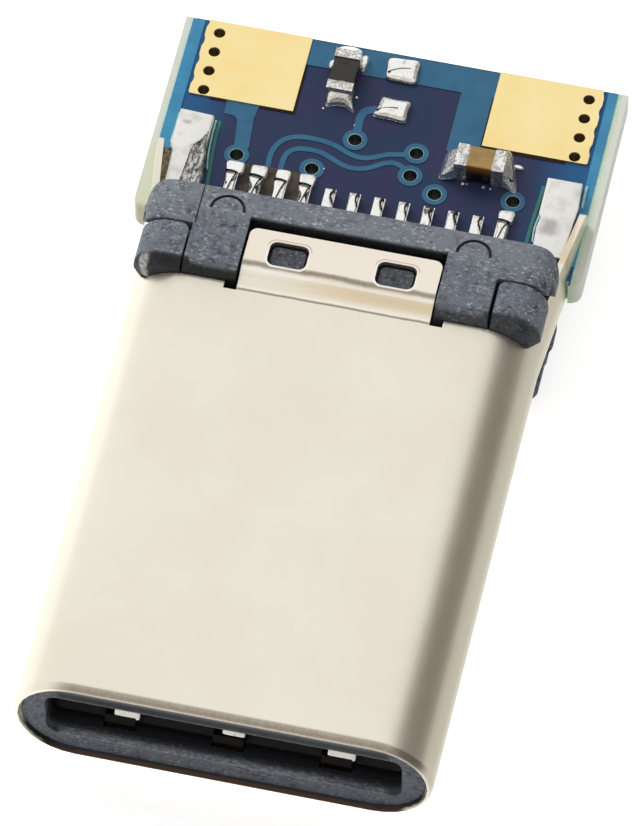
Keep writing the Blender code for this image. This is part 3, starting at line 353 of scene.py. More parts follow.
def sloping_pad(bm, left, right, front, rear, low, high):
    """A thin pad that rises towards the back. Its heights are over the middle of the mouth."""
    lift = MIDDLE - BOARD_TOP
    corners = [(left, front, low), (right, front, low), (right, rear, high), (left, rear, high)]
    face = bm.faces.new([bm.verts.new(at(x, depth, height + lift)) for x, depth, height in corners])
    made = bmesh.ops.subdivide_edges(bm, edges=face.edges[:], cuts=2, use_grid_fill=True)
    faces = [part for part in made["geom_inner"] + made["geom"] if isinstance(part, bmesh.types.BMFace)]
    back = bmesh.ops.extrude_face_region(bm, geom=list(dict.fromkeys(faces)), use_keep_orig=True)["geom"]
    corners = [part for part in back if isinstance(part, bmesh.types.BMVert)]
    bmesh.ops.translate(bm, verts=corners, vec=Vector((0.0, 0.02, -0.02)) * MM)


def ring(bm, x, depth, inner, outer, height):
    """A flat ring on the board, spun from its section."""
    section = [(inner, BURIED), (outer, BURIED), (outer, height), (inner, height)]
    corners = [bm.verts.new(at(x + reach, depth, rise)) for reach, rise in section]
    sides = [bm.edges.new((corners[i - 1], corners[i])) for i in range(4)]
    bmesh.ops.spin(bm, geom=corners + sides, cent=at(x, depth), axis=(0, 0, 1), dvec=(0, 0, 0),
                   angle=math.tau, steps=40, use_merge=True)


def smooth_path(points, steps=5):
    """Points on a curve that rounds the corners of a path."""
    points = [Vector((*point, 0.0)) for point in points]
    path = [points[0]]
    middles = [(a + b) / 2 for a, b in zip(points, points[1:])]
    for before, corner, after in zip(middles, points[1:-1], middles[1:]):
        handles = before.lerp(corner, 0.6), after.lerp(corner, 0.6)
        path += geometry.interpolate_bezier(before, *handles, after, steps)
    path.append(points[-1])
    kept = path[:1]
    for point in path[1:]:
        if (point - kept[-1]).length > 0.01:
            kept.append(point)
    return kept


def trace(bm, points, width, height):
    """A narrow strip that follows a path on the board, such as a copper trace."""
    path = smooth_path(points)
    edge = None
    faces = []
    for i, point in enumerate(path):
        ahead = path[min(i + 1, len(path) - 1)] - path[max(i - 1, 0)]
        side = Vector((-ahead.y, ahead.x, 0.0)).normalized() * width / 2
        ends = [at(end.x, end.y, BURIED) for end in (point + side, point - side)]
        if edge is None:
            edge = bm.edges.new([bm.verts.new(end) for end in ends])
            continue
        made = bmesh.ops.extrude_edge_only(bm, edges=[edge])["geom"]
        edge = next(part for part in made if isinstance(part, bmesh.types.BMEdge))
        near = sorted(edge.verts, key=lambda vert: (vert.co - ends[0]).length)
        for vert, end in zip(near, ends):
            vert.co = end
        faces += [part for part in made if isinstance(part, bmesh.types.BMFace)]
    raise_faces(bm, faces, height - BURIED)


def middle_of(outline):
    return sum((Vector(point) for point in outline), Vector((0, 0))) / len(outline)


def puddle(bm, outline, height, peak=None, tilt=(0.0, 0.0), ripple=0.010, seed=0.0, crown=0.66):
    """A patch of solder that is wetted out to an outline and drawn up to a rounded top.

    The outline is in millimetres. The top leans by tilt, in millimetres of height per millimetre
    across and back, about its peak.
    """
    middle = Vector(peak) if peak else middle_of(outline)
    face = bm.faces.new([bm.verts.new(at(x, depth, -0.004)) for x, depth in outline])
    before = 1.0
    centre = at(middle.x, middle.y)
    for reach, rise in ((0.985, 0.22), (0.9, 0.7), (crown, 1.0), (crown * 0.45, 1.02)):
        raised = bmesh.ops.extrude_face_region(bm, geom=[face], use_keep_orig=before == 1.0)["geom"]
        face = next(part for part in raised if isinstance(part, bmesh.types.BMFace))
        for vert in face.verts:
            across = (vert.co.x - centre.x) * reach / before
            back = (vert.co.y - centre.y) * reach / before
            lean = height + (across * tilt[0] + back * tilt[1]) / MM
            wave = noise.noise(Vector((across / MM + seed * 3.1, back / MM, rise)) * 5.0)
            top = max(0.02, lean) * rise + wave * ripple * 1.5
            vert.co = Vector((centre.x + across, centre.y + back, (BOARD_TOP + top) * MM))
        before = reach


def pointed(outline, pull=0.3, steps=3):
    """An outline whose sides bow in between its corners, as wetted solder's do."""
    points = [Vector(point) for point in outline]
    middle = middle_of(outline)
    bowed = []
    for start, end in zip(points, points[1:] + points[:1]):
        for step in range(steps):
            share = step / steps
            point = start.lerp(end, share)
            bowed.append(tuple(point.lerp(middle, pull * share * (1 - share))))
    return bowed


def soften(piece, levels=1):
    """Round a piece with a subdivision surface and shade it smoothly."""
    piece.data.shade_smooth()
    surface = piece.modifiers.new("rounding", "SUBSURF")
    surface.levels = levels
    surface.render_levels = levels


def shell_finish():
    """Satin nickel: fine drawing marks and slight clouding, with painted reflections, highlights and shade
    at the tongue's bend, round its windows, along the lip and on the mouth's lower walls.
    """
    tone = colours()
    made = Finish("satin_nickel", metallic=1.0, roughness=0.36)
    cloud = made.grain(0.45, 3.0)
    fine = made.grain(9.0, 3.0, 0.7)
    drawn = made.grain(6.0, 2.0, 0.5, made.stretched(5.0, 0.35, 5.0))
    warm = tinted(tone.shell, 0.98, 0.97, 0.955)
    pale = tinted(tone.shell, 1.02)
    made.body = made.mix(warm, pale, cloud.rise(0.3, 0.7))
    made.lay(tone.dull_nickel_and_shade, fine.rise(0.6, 0.95) * 0.1)
    side, depth, above = made.measures()
    # Painted reflections, highlights and shade on the tongue's ramp: a tan slope, dull bands at the bend
    # and at its root, a pale glint and crest, and a darker clouded hollow.
    on_tongue = side.fall(1.92, 1.96) * above.rise(1.0, 1.1)
    wander = made.grain(1.6, 3.0) * 0.1 - 0.05
    waved = depth + wander * 0.4
    bend_shade = (depth + wander).between(10.24, 10.34, 0.035) * on_tongue
    slope_reflection = depth.between(9.92, 10.19, 0.06) * on_tongue * made.x.rise(-1.6, 0.6)
    root = waved.between(9.74, 9.785, 0.018) * on_tongue
    made.lay(tinted(tone.shell, 0.86, 0.74, 0.58), slope_reflection * 0.9)
    made.lay(tone.dull_nickel_and_shade, bend_shade * (0.75 + 0.25 * drawn))
    made.lay(tinted(tone.dull_nickel_and_shade, 0.6), root * 0.8)
    glint = waved.between(9.81, 9.85, 0.015) * on_tongue
    made.lay((0.93, 0.86, 0.76), glint * 0.8)
    crest_highlight = waved.between(10.15, 10.2, 0.03) * on_tongue
    made.lay((0.96, 0.93, 0.9), crest_highlight * 0.65)
    hollow_shade = (depth + wander * 0.8).between(10.03, 10.07, 0.04) * on_tongue
    clouded = hollow_shade * cloud.rise(0.3, 0.6) * 0.6
    made.lay(tinted(tone.shell, 0.72, 0.64, 0.58), clouded)
    made.lay((0.91, 0.82, 0.72), on_tongue * depth.rise(10.34, 10.42) * 0.8)
    across = (abs(side - WINDOW_ACROSS) - 0.265).higher_of(0.0)
    along = (abs(depth - WINDOW_DEPTH) - 0.15).higher_of(0.0)
    window = span(across, along) - 0.13
    on_top = above.rise(1.3, 1.36)
    # Painted highlight along the windows' front rims, and painted shade along their rear rims.
    rim_highlight = window.between(-0.01, 0.035, 0.010) * depth.fall(10.55, 10.85) * on_top
    made.lay((0.94, 0.91, 0.86), rim_highlight)
    rim_shade = (window + wander * 0.3).between(0.035, 0.058, 0.012) * depth.rise(10.72, 10.84) * on_top
    made.lay(tinted(tone.shell, 0.5, 0.4, 0.28), rim_shade * 0.7)
    # Painted shade: a dull band just inside the lip, standing in for a dark reflection, over all but the
    # far left of the mouth.
    painted_lip_shade = depth.fall(0.12, 0.18) * above.rise(0.45, 0.8) * made.x.rise(-3.5, -2.9)
    painted_lip_shade = painted_lip_shade * (0.6 + 0.4 * drawn) * (0.84 + 0.14 * depth.rise(0.02, 0.05))
    made.lay(tone.dull_nickel_and_shade, painted_lip_shade)
    # Painted shade on the front of the lower lip and on the lower wall inside the mouth.
    lower_lip_shade = depth.fall(0.05, 0.09) * above.fall(-0.95, -0.8)
    made.lay((0.09, 0.045, 0.025), lower_lip_shade)
    reach = span((side - 2.925).higher_of(0.0), above)
    lower_wall_shade = depth.fall(0.12, 0.14) * reach.fall(1.07, 1.09) * above.fall(-0.5, -0.1)
    made.lay((0.034, 0.033, 0.036), lower_wall_shade)
    inside = side.fall(4.225, 4.245) * depth.rise(12.0, 12.1) * made.x.rise(-1.0, 1.0)
    made.lay((0.72, 0.56, 0.4), inside * (0.5 + 0.5 * fine))
    return made.cover(0.3 + 0.14 * fine + 0.04 * drawn, fine * 0.5 + drawn * 0.5, 0.004, 0.35)


def bright_metal(name, colour, rough, spot):
    """Bright plated metal with small dull spots."""
    made = Finish(name, metallic=1.0, roughness=rough)
    fine = made.grain(12.0, 4.0, 0.65)
    cloud = made.grain(2.6, 3.0)
    spots = fine.rise(0.56, 0.8) * spot + cloud.rise(0.55, 0.75) * spot * 0.5
    made.body = made.mix(colour, tinted(colour, 0.55), spots)
    return made.cover(rough + 0.22 * fine, fine, 0.010, 0.5)


def contact_finish():
    """Gold inside the plug, tinned where the tails meet the board."""
    tone = colours()
    made = Finish("contact_plating", metallic=1.0, roughness=0.26)
    fine = made.grain(14.0, 4.0, 0.65)
    gold = made.mix(tone.gold, tinted(tone.gold, 0.7), fine.rise(0.5, 0.8) * 0.5)
    tin = made.mix(tone.solder, tinted(tone.solder, 0.6), fine.rise(0.5, 0.75) * 0.6)
    made.body = made.mix(gold, tin, (made.y - MOUTH).rise(11.86, 11.95))
    return made.cover(0.2 + 0.25 * fine, fine, 0.006, 0.5)


def moulding_finish():
    """Glass-filled black plastic: blue-grey with pale flecks and dark grain, with painted shade inside the
    mouth, on front faces, in recesses and seams, painted light under the lip, on the lead-in and on the
    rear tops, and a ring mark.
    """
    tone = colours()
    made = Finish("moulded_plastic", roughness=0.55, specular_ior_level=0.3)
    coarse = made.grain(5.2, 4.0, 0.62, warp=0.5)
    streak = made.grain(9.0, 4.0, 0.65, made.stretched(0.8, 1.7, 1.7))
    fleck = made.grain(15.0, 3.0, 0.6, made.stretched(0.8, 1.3, 1.3))
    cloud = made.grain(1.6, 3.0)
    made.body = made.mix(tone.moulding_dark, tone.moulding, coarse.rise(0.22, 0.55))
    made.lay(tone.moulding_dark, streak.rise(0.53, 0.68) * 0.65)
    made.lay(tone.fleck_and_painted_light, fleck.rise(0.54, 0.68) * (0.35 + 0.65 * cloud.rise(0.35, 0.6)))
    side, depth, above = made.measures()
    # Painted shade inside the mouth, deeper than the housing's face.
    made.lay(tone.moulding_shade_and_marks, depth.between(0.3, 9.0, 0.12))
    # Painted shade on the faces that look forward at the shell, less on the right.
    front = (depth - 0.09 * side.rise(2.9, 3.0)).fall(9.96, 10.05) * depth.rise(9.0, 9.1)
    made.lay(tone.moulding_shade_and_marks, front * (0.93 - 0.21 * made.x.rise(-1.0, 1.0)))
    face = depth.fall(0.5, 0.6)
    made.lay(tone.moulding_dark, face * 0.4)
    # Painted shade on the strip of the housing's face under the lip, with a painted light gradient at its
    # top.
    brow_shade = above.rise(0.6, 0.68) * side.fall(3.12, 3.4) * face
    made.lay((0.002, 0.002, 0.003), brow_shade * (1.0 - 0.12 * made.x.rise(-1.8, 0.0)))
    made.lay(tone.fleck_and_painted_light, brow_shade * above.rise(0.76, 1.0) * 0.6)
    # Painted light: a pale strip on the lower lead-in of the mouth, fainter on the right.
    lit_lead_in = above.between(-0.625, -0.4, 0.006) * depth.fall(0.16, 0.3) * side.fall(3.1, 3.3)
    lit_lead_in = lit_lead_in * (1 - 0.4 * made.x.rise(1.6, 2.6))
    made.lay(tone.fleck_and_painted_light, lit_lead_in * (0.4 + 0.55 * fleck.rise(0.42, 0.62)))
    # Painted sheen on the tops towards the rear.
    sheen = depth.rise(10.9, 11.5) * above.rise(1.3, 1.45)
    made.lay(tone.fleck_and_painted_light, sheen * 0.14)
    # Painted shade in the sunk web between the fingers, lighter on the bosses round the windows.
    sunk_shade = above.fall(1.4, 1.47) * side.fall(2.0, 2.02) * depth.between(9.9, 11.33, 0.01)
    on_boss = (abs(side - WINDOW_ACROSS) - 0.33).higher_of(abs(depth - WINDOW_DEPTH) - 0.22)
    made.lay(tone.moulding_shade_and_marks, sunk_shade * (0.58 + 0.28 * on_boss.rise(0.0, 0.02)))
    # Painted shade in the right seam between finger and block, and the ring mark on the rear bar's top.
    seam_shade = made.x.between(3.045, 3.13, 0.012) * depth.between(9.9, 10.86, 0.02) * above.rise(0.9, 1.0)
    from_mark = span(side - GATE_ACROSS, depth - GATE_DEPTH)
    gate_mark = from_mark.between(0.3, 0.365, 0.012) * depth.rise(11.33, 11.36) * above.rise(1.3, 1.42)
    made.lay(tone.moulding_shade_and_marks, seam_shade.higher_of(gate_mark * 0.85))
    # A pale crescent on the front face of the left block.
    from_crescent = span((made.x - CRESCENT_ACROSS) / 0.38, (above - CRESCENT_HEIGHT) / 0.4)
    pale_crescent = from_crescent.between(0.48, 0.96, 0.08) * made.x.fall(-3.82, -3.72) * depth.fall(10.04, 10.12)
    made.lay((0.64, 0.63, 0.6), pale_crescent * (0.45 + 0.55 * streak.rise(0.4, 0.6)))
    return made.cover(0.42 + 0.3 * streak, coarse * 0.5 + streak * 0.5 + fleck * 0.5, 0.030, 0.6)


def board_finish():
    """Blue mask on top and below, pale laminate at the edges, and the holes' walls painted dark as shade.
    """
    tone = colours()
    made = Finish("masked_laminate", roughness=0.42, specular_ior_level=0.25)
    cloud = made.grain(1.1, 3.0)
    weave = made.grain(16.0, 2.0, 0.5, made.stretched(1.0, 1.0, 3.0))
    side, depth, _ = made.measures()
    violet = tinted(tone.mask, 1.45, 0.92, 1.0)
    mask = made.mix(tone.mask, violet, cloud.rise(0.42, 0.6))
    mask = made.mix(mask, tone.mask_pale, side.rise(2.9, 4.0))
    fringe = tinted(tone.laminate, 0.7, 0.93, 0.76)
    edge = made.mix(fringe, tone.laminate, side.rise(HALF_BOARD - 0.2, HALF_BOARD - 0.06))
    edge = made.mix(edge, tinted(tone.laminate, 1.12), weave.rise(0.45, 0.65) * 0.5)
    left_edge = made.x.fall(-4.27, -4.24)
    edge = made.mix(edge, shade(238, 242, 212), left_edge * depth.fall(13.2, 13.6) * 0.75)
    bare_prong = left_edge * depth.fall(13.33, 13.39)
    at_side = side.rise(HALF_BOARD - 0.225, HALF_BOARD - 0.205).higher_of(bare_prong)
    prong = made.mix((0.44, 0.4, 0.2), (0.5, 0.24, 0.08), made.z.rise(BOARD_UNDERSIDE, BOARD_TOP))
    edge = made.mix(edge, prong, depth.fall(11.86, 12.02) * (0.4 - 0.32 * made.x.rise(-1.0, 1.0)))
    above = made.z.rise(BOARD_TOP - 0.0012, BOARD_TOP - 0.0004)
    faces = above + made.z.fall(BOARD_UNDERSIDE + 0.0004, BOARD_UNDERSIDE + 0.0012)
    wall = side.rise(4.24, 4.26).higher_of(depth.rise(BOARD_REAR - 0.02, BOARD_REAR - 0.01))
    # Painted shade in the holes: near-black green in the mask, dark brown under the gold pads.
    hole_shade = made.mix((0.008, 0.020, 0.014), (0.160, 0.085, 0.010), side.rise(3.3, 3.4))
    walls = made.mix(hole_shade, edge, wall)
    made.body = made.mix(walls, made.mix(mask, edge, at_side), faces)
    return made.cover(0.36 + 0.16 * cloud, weave * 0.4 + cloud * 0.6, 0.006, 0.4)


def copper_mask_finish(name, colour):
    """Glossy mask over copper, a little paler where it is thin."""
    made = Finish(name, roughness=0.32, specular_ior_level=0.3)
    cloud = made.grain(1.9, 4.0)
    fine = made.grain(15.0, 3.0)
    made.body = made.mix(tinted(colour, 0.8, 0.84, 0.9), colour, cloud.rise(0.35, 0.62))
    made.lay(tinted(colour, 1.25), fine.rise(0.55, 0.8) * 0.4)
    return made.cover(0.26 + 0.14 * fine, fine * 0.4 + cloud * 0.6, 0.006, 0.4)


def plain_finish(name, colour, other, rough=0.5, scale=8.0):
    """A dull surface whose colour wanders between two tones."""
    made = Finish(name, roughness=rough, specular_ior_level=0.3)
    cloud = made.grain(scale, 4.0, 0.65)
    made.body = made.mix(colour, other, cloud.rise(0.38, 0.66))
    return made.cover(rough + 0.15 * cloud, cloud, 0.010, 0.4)


def gold_finish():
    """Pale gold plating with a fine grain and a few warm patches."""
    tone = colours()
    made = Finish("pale_gold", metallic=1.0, roughness=0.42)
    cloud = made.grain(0.8, 3.0)
    fine = made.grain(20.0, 3.0, 0.7)
    warm = tinted(tone.gold, 1.0, 0.94, 0.82)
    pale = tinted(tone.gold, 1.02, 1.04, 1.15)
    made.body = made.mix(warm, tone.gold, cloud.rise(0.3, 0.5))
    made.lay(pale, cloud.rise(0.5, 0.7) * 0.8)
    made.lay(tinted(warm, 0.75), fine.rise(0.66, 0.84) * 0.25)
    return made.cover(0.36 + 0.16 * fine, fine, 0.005, 0.5)


def solder_finish(name="bright_solder", mottling=0.6, rough=0.16):
    """Bright tin whose skin is mottled grey and drawn into small folds."""
    tone = colours()
    made = Finish(name, metallic=1.0, roughness=rough)
    mottle = made.grain(5.5, 5.0, 0.68, warp=0.8)
    fine = made.grain(20.0, 3.0, 0.7)
    raised = 0.45 + 0.55 * made.z.rise(BOARD_TOP + 0.1, BOARD_TOP + 0.24)
    patches = mottle.rise(0.52, 0.72)
    folds = (fine * 0.5 + mottle * 0.5).rise(0.58, 0.66)
    made.body = made.mix(tone.solder, tinted(tone.solder, 0.34), patches * raised * mottling)
    made.lay(tone.solder_dark, folds * raised * mottling)
    return made.cover(rough + 0.24 * fine, mottle * 0.8 + fine * 0.35, 0.035, 0.8)


def tab_finish():
    """The dull white skin of the tabs' solder, smeared grey where an iron has touched it."""
    tone = colours()
    made = Finish("white_solder", metallic=0.8, roughness=0.45)
    fine = made.grain(14.0, 4.0, 0.65)
    cloud = made.grain(3.0, 3.0)
    depth = made.y - MOUTH
    made.body = made.mix(tone.solder, tinted(tone.solder, 0.82), cloud.rise(0.45, 0.7))
    smear = (made.x + cloud * 0.3).between(-3.87, -3.66, 0.05)
    smear = smear * (depth + fine * 0.1).between(13.96, 14.02, 0.04)
    made.lay(tinted(tone.solder, 0.62, 0.54, 0.52), smear)
    smear = (made.x + cloud * 0.4).between(3.66, 4.05, 0.14)
    smear = smear * (depth + cloud * 0.4).between(13.0, 13.35, 0.1)
    made.lay(tinted(tone.solder, 0.58), smear)
    return made.cover(0.42 + 0.2 * fine, fine * 0.4 + cloud * 0.6, 0.012, 0.5)


def rough_solder_finish():
    """Solder that an iron has dragged: grey, scratched along its length and full of dark pits."""
    tone = colours()
    made = Finish("dragged_solder", metallic=0.3, roughness=0.5)
    drag = made.grain(6.0, 4.0, 0.7, made.stretched(2.2, 0.7, 1.0), 0.6)
    pits = made.grain(16.0, 4.0, 0.7)
    made.body = made.mix(tone.solder, tinted(tone.solder, 0.16), drag.rise(0.4, 0.6))
    made.lay(tone.solder_dark, pits.rise(0.52, 0.6) * 0.85)
    return made.cover(0.35 + 0.3 * pits, drag * 0.6 + pits * 0.4, 0.05, 0.9)


def chip_finish(name, body, dark, axis, half_body, side_face):
    """A chip: its glazed body between two tinned ends, along x or y."""
    tone = colours()
    low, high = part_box(name)
    middle = (low + high) / 2 / MM
    made = Finish(name + "_finish", roughness=0.35, specular_ior_level=0.4)
    along = abs((made.x if axis == "x" else made.y) - (middle.x if axis == "x" else middle.y))
    cloud = made.grain(4.5, 4.0)
    fine = made.grain(16.0, 3.0, 0.7)
    ends = (along + fine * 0.05).rise(half_body + 0.015, half_body + 0.035)
    glaze = made.mix(body, dark, cloud.rise(0.38, 0.66))
    # The capacitor's front face is painted darker towards the bottom, as shade.
    if axis == "x":
        front = made.y.fall(low.y / MM + 0.040, low.y / MM + 0.050)
        height = made.z.rise(low.z / MM + 0.22, high.z / MM + 0.05)
        glaze = made.mix(glaze, made.mix((0.006, 0.005, 0.004), side_face, height), front)
    else:
        face = abs(made.x - middle.x).rise(high.x / MM - middle.x - 0.012, high.x / MM - middle.x - 0.004)
        glaze = made.mix(glaze, side_face, face)
        mark = abs(made.x - middle.x + 0.05).higher_of(abs(made.y - middle.y - 0.16) * 3.0)
        glaze = made.mix(glaze, tinted(dark, 0.45), mark.fall(0.08, 0.14) * 0.7)
    dulled = fine.rise(0.4, 0.6) * 0.85 + cloud.rise(0.5, 0.7) * 0.15
    tin = made.mix(tone.solder, tinted(tone.solder, 0.36), dulled)
    made.vary("Metallic", ends)
    made.body = made.mix(glaze, tin, ends)
    return made.cover(0.3 + 0.2 * fine, fine, 0.010, 0.6)


SPRING_PADS = (
    (-2.27, -1.75, 0.56, 0.68, -0.4, -0.26),
    (-0.14, 0.32, 0.6, 0.67, -0.36, -0.28),
    (1.93, 2.5, 0.56, 0.68, -0.4, -0.26),
)
TAIL_PITCH = 0.5
TAILS = [(number - 5.5) * TAIL_PITCH for number in range(12)]
WIDE_TAILS = {
    0: (-2.94, -2.57, -2.91, -2.63),
    1: (-2.41, -2.1, -2.43, -2.12),
    2: (-1.9, -1.63, -1.92, -1.63),
    3: (-1.44, -1.12, -1.42, -1.13),
    11: (2.62, 2.93, 2.62, 2.9),
}
VIAS = (
    (-2.8, 13.51), (-0.57, 14.38), (-1.26, 13.5), (0.7, 14.32), (0.69, 13.76), (1.26, 13.42),
    (2.82, 13.59),
)
OUTER_TRACE = (
    (-2.13, 13.36), (-2.15, 13.69), (-2.08, 13.94), (-1.93, 14.13), (-1.7, 14.22), (-1.42, 14.24),
    (-1.06, 14.21), (-0.84, 14.13), (-0.56, 14.0), (-0.31, 13.97), (-0.08, 14.06), (0.14, 14.18),
    (0.32, 14.22), (0.52, 14.25),
)
INNER_TRACE = (
    (-1.87, 13.36), (-1.87, 13.71), (-1.73, 13.9), (-1.5, 13.96), (-1.18, 13.95), (-0.95, 13.85),
    (-0.71, 13.73), (-0.45, 13.68), (-0.15, 13.76), (0.06, 13.92), (0.25, 14.01), (0.43, 13.98),
    (0.56, 13.89),
)
STUB_TRACE = ((-0.57, 14.55), (-0.6, 14.97), (-0.53, 15.13), (-0.37, 15.2), (-0.2, 15.22))
WIDE_TRACE = (
    (-3.28, 14.82), (-3.28, 14.46), (-3.06, 14.44), (-2.98, 14.36), (-2.9, 13.72), (-2.86, 13.66),
    (-2.64, 13.66), (-2.6, 13.74), (-2.66, 14.46), (-2.62, 14.82),
)
MASK_RIMS = (
    (0.030, ((-3.38, 14.22), (-3.38, 13.8), (-3.35, 13.35), (-3.29, 13.02))),
    (0.030, ((-4.14, 14.25), (-4.14, 13.9), (-4.155, 13.5))),
    (0.045, ((4.19, 14.25), (4.19, 14.0), (4.2, 13.72))),
    (0.030, ((3.42, 14.0), (3.42, 13.75), (3.42, 13.4), (3.36, 13.05), (3.4, 12.7))),
)
MASK_HALOS = (
    ((-3.31, 14.25), (-3.31, 13.85), (-3.28, 13.4), (-3.2, 12.6)),
    ((3.34, 14.1), (3.33, 13.75), (3.3, 13.35), (3.28, 12.6)),
)
PAD_GAPS = (
    (-1.935, -1.890, 14.74, 15.97),
    (-3.64, -3.31, 14.735, PAD_FRONT),
    (-2.64, -1.94, 14.735, PAD_FRONT),
    (2.1, 3.64, 14.715, PAD_FRONT),
)
BROWN_PATCH = ((-4.21, 13.32), (-4.1, 13.26), (-4.03, 13.2), (-4.03, 12.4), (-4.2, 12.4))


class PLUG_OT_shell(bpy.types.Operator):
    """Give the drawn shell its satin nickel"""

    bl_idname = "plug.shell"
    bl_label = "Shell"

    def execute(self, context):
        dress(shell_finish(), "shell")
        round_off("shell")
        return {"FINISHED"}


class PLUG_OT_inner_metal(bpy.types.Operator):
    """Give the latch plate, upper spring and contacts their bright plating, paint the lower spring dark as
    shade and lay lit pads on it
    """

    bl_idname = "plug.inner_metal"
    bl_label = "Latch, springs and contacts"

    def execute(self, context):
        metal = colours().inner_metal
        dress(bright_metal("spring_plating", metal, 0.24, 0.7), "upper_emc_spring")
        # Painted shade: the lower spring is a near-black copy of the bright plating, and the pads below are
        # lit copies laid where light catches its crests.
        dress(bright_metal("shaded_spring_plating", tinted(metal, 0.016), 0.4, 0.4), "lower_emc_spring")
        pads = bmesh.new()
        for pad in SPRING_PADS:
            sloping_pad(pads, *pad)
        lit_pad_metal = bright_metal("lit_pad_plating", metal, 0.36, 0.8)
        soften(new_piece("lit_spring_pads", pads, lit_pad_metal), 2)
        dress(bright_metal("latch_plating", metal, 0.34, 0.2), "latch_plate")
        contacts = [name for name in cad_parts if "_contact_" in name and not name.endswith("holder")]
        dress(contact_finish(), *contacts)
        round_off("latch_plate", "upper_emc_spring", "lower_emc_spring")
        return {"FINISHED"}


class PLUG_OT_mouldings(bpy.types.Operator):
    """Give the base, housing and holders their flecked black plastic"""

    bl_idname = "plug.mouldings"
    bl_label = "Mouldings"

    def execute(self, context):
        nodes = ("front_base", "rear_base", "front_housing", "upper_contact_holder", "lower_contact_holder")
        dress(moulding_finish(), *nodes)
        round_off(*nodes)
        return {"FINISHED"}


class PLUG_OT_board(bpy.types.Operator):
    """Give the board its blue mask and bare edges"""

    bl_idname = "plug.board"
    bl_label = "Circuit board"

    def execute(self, context):
        dress(board_finish(), "circuit_board")
        return {"FINISHED"}


class PLUG_OT_copper(bpy.types.Operator):
    """Lay the masked copper: side strips, pours, traces and via rings"""

    bl_idname = "plug.copper"
    bl_label = "Copper under the mask"

    def execute(self, context):
        tone = colours()
        size = context.scene.plug_board
        height = size.copper_height / MM
        rear = BOARD_REAR - 0.03
        sides = bmesh.new()
        strip(sides, -4.4, -4.15, 13.36, rear, height)
        strip(sides, 4.15, 4.34, 12.3, rear, height)
        bright = copper_mask_finish("mask_over_side_copper", tone.side_mask)
        new_piece("side_copper", sides, bright)
        pour = bmesh.new()
        strip(pour, -1.935, 1.93, 15.99, rear, height - 0.001)
        strip(pour, 1.26, 1.9, 14.52, 16.0, height - 0.002)
        plate(pour, WIDE_TRACE, height - 0.003)
        for path in (OUTER_TRACE, INNER_TRACE):
            trace(pour, path, size.trace_width / MM, height - 0.004)
        trace(pour, STUB_TRACE, 0.17, height - 0.004)
        for via in VIAS:
            ring(pour, *via, size.hole_radius / MM, size.ring_radius / MM, height)
        plain = copper_mask_finish("mask_over_copper", tone.copper_mask)
        new_piece("masked_copper", pour, plain)
        return {"FINISHED"}


class PLUG_OT_openings(bpy.types.Operator):
    """Edge the mask's openings with pale rims, paint highlights round the vias, and lay dark gaps at the
    pads, the bare window at the tails and a brown patch by the left leaf
    """

    bl_idname = "plug.openings"
    bl_label = "Mask openings"

    def execute(self, context):
        tone = colours()
        rims = bmesh.new()
        for width, path in MASK_RIMS:
            trace(rims, path, width, RIM_HEIGHT)
        pale = tinted([part * 1.3 + 0.05 for part in tone.mask_rim_and_via_highlight], 1.0)
        new_piece("mask_rims", rims, plain_finish("mask_rim", tone.mask_rim_and_via_highlight, pale, 0.35, 5.0))
        # Painted highlight: a thin pale ring round each via's hole.
        via_highlights = bmesh.new()
        for via in VIAS:
            ring(via_highlights, *via, 0.140, 0.154, 0.022)
        dim = plain_finish("via_highlight", tinted(tone.mask_rim_and_via_highlight, 0.6), tinted(tone.mask_rim_and_via_highlight, 0.95), 0.35, 4.0)
        new_piece("via_highlights", via_highlights, dim)
        halo = bmesh.new()
        for path in MASK_HALOS:
            trace(halo, path, 0.07, FILM_HEIGHT)
        thin = plain_finish("thin_mask", shade(62, 132, 132), shade(70, 130, 104), 0.35, 3.0)
        new_piece("mask_over_rims", halo, thin)
        gaps = bmesh.new()
        for gap in PAD_GAPS:
            strip(gaps, *gap, FILM_HEIGHT)
        dark = plain_finish("pad_gap", tone.gap, (0.02, 0.012, 0.008), 0.6)
        new_piece("pad_gaps", gaps, dark)
        window = bmesh.new()
        strip(window, -2.6, -1.3, 11.95, 13.36, 0.010)
        brown, umber = tinted(tone.laminate_dark, 0.8), tinted(tone.laminate_dark, 0.34)
        bare = plain_finish("bare_laminate", brown, umber, 0.6, 2.5)
        new_piece("tail_window", window, bare)
        # A brown patch on the board between the left leaf and the left tab.
        patch_plate = bmesh.new()
        plate(patch_plate, BROWN_PATCH, 0.1)
        patch_finish = plain_finish("brown_patch_finish", shade(196, 180, 144), shade(118, 98, 70), 0.4, 9.0)
        new_piece("brown_patch", patch_plate, patch_finish)
        return {"FINISHED"}


class PLUG_OT_wire_pads(bpy.types.Operator):
    """Plate the wire pads and the pads on the underside"""

    bl_idname = "plug.wire_pads"
    bl_label = "Wire pads"

    def execute(self, context):
        nodes = [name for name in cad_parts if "_wire_pad_" in name or "_signal_pad_" in name]
        dress(gold_finish(), *nodes)
        return {"FINISHED"}


class PLUG_OT_chips(bpy.types.Operator):
    """Finish the chip resistor and the chip capacitor"""

    bl_idname = "plug.chips"
    bl_label = "Chips"

    def execute(self, context):
        glaze, ceramic = colours().resistor, colours().capacitor
        for name, *choices in (
            ("chip_resistor", glaze, tinted(glaze, 0.75), "y", 0.3, shade(196, 194, 186)),
            ("chip_capacitor", ceramic, tinted(ceramic, 0.8), "x", 0.255, shade(156, 102, 40)),
        ):
            dress(chip_finish(name, *choices), name)
        return {"FINISHED"}


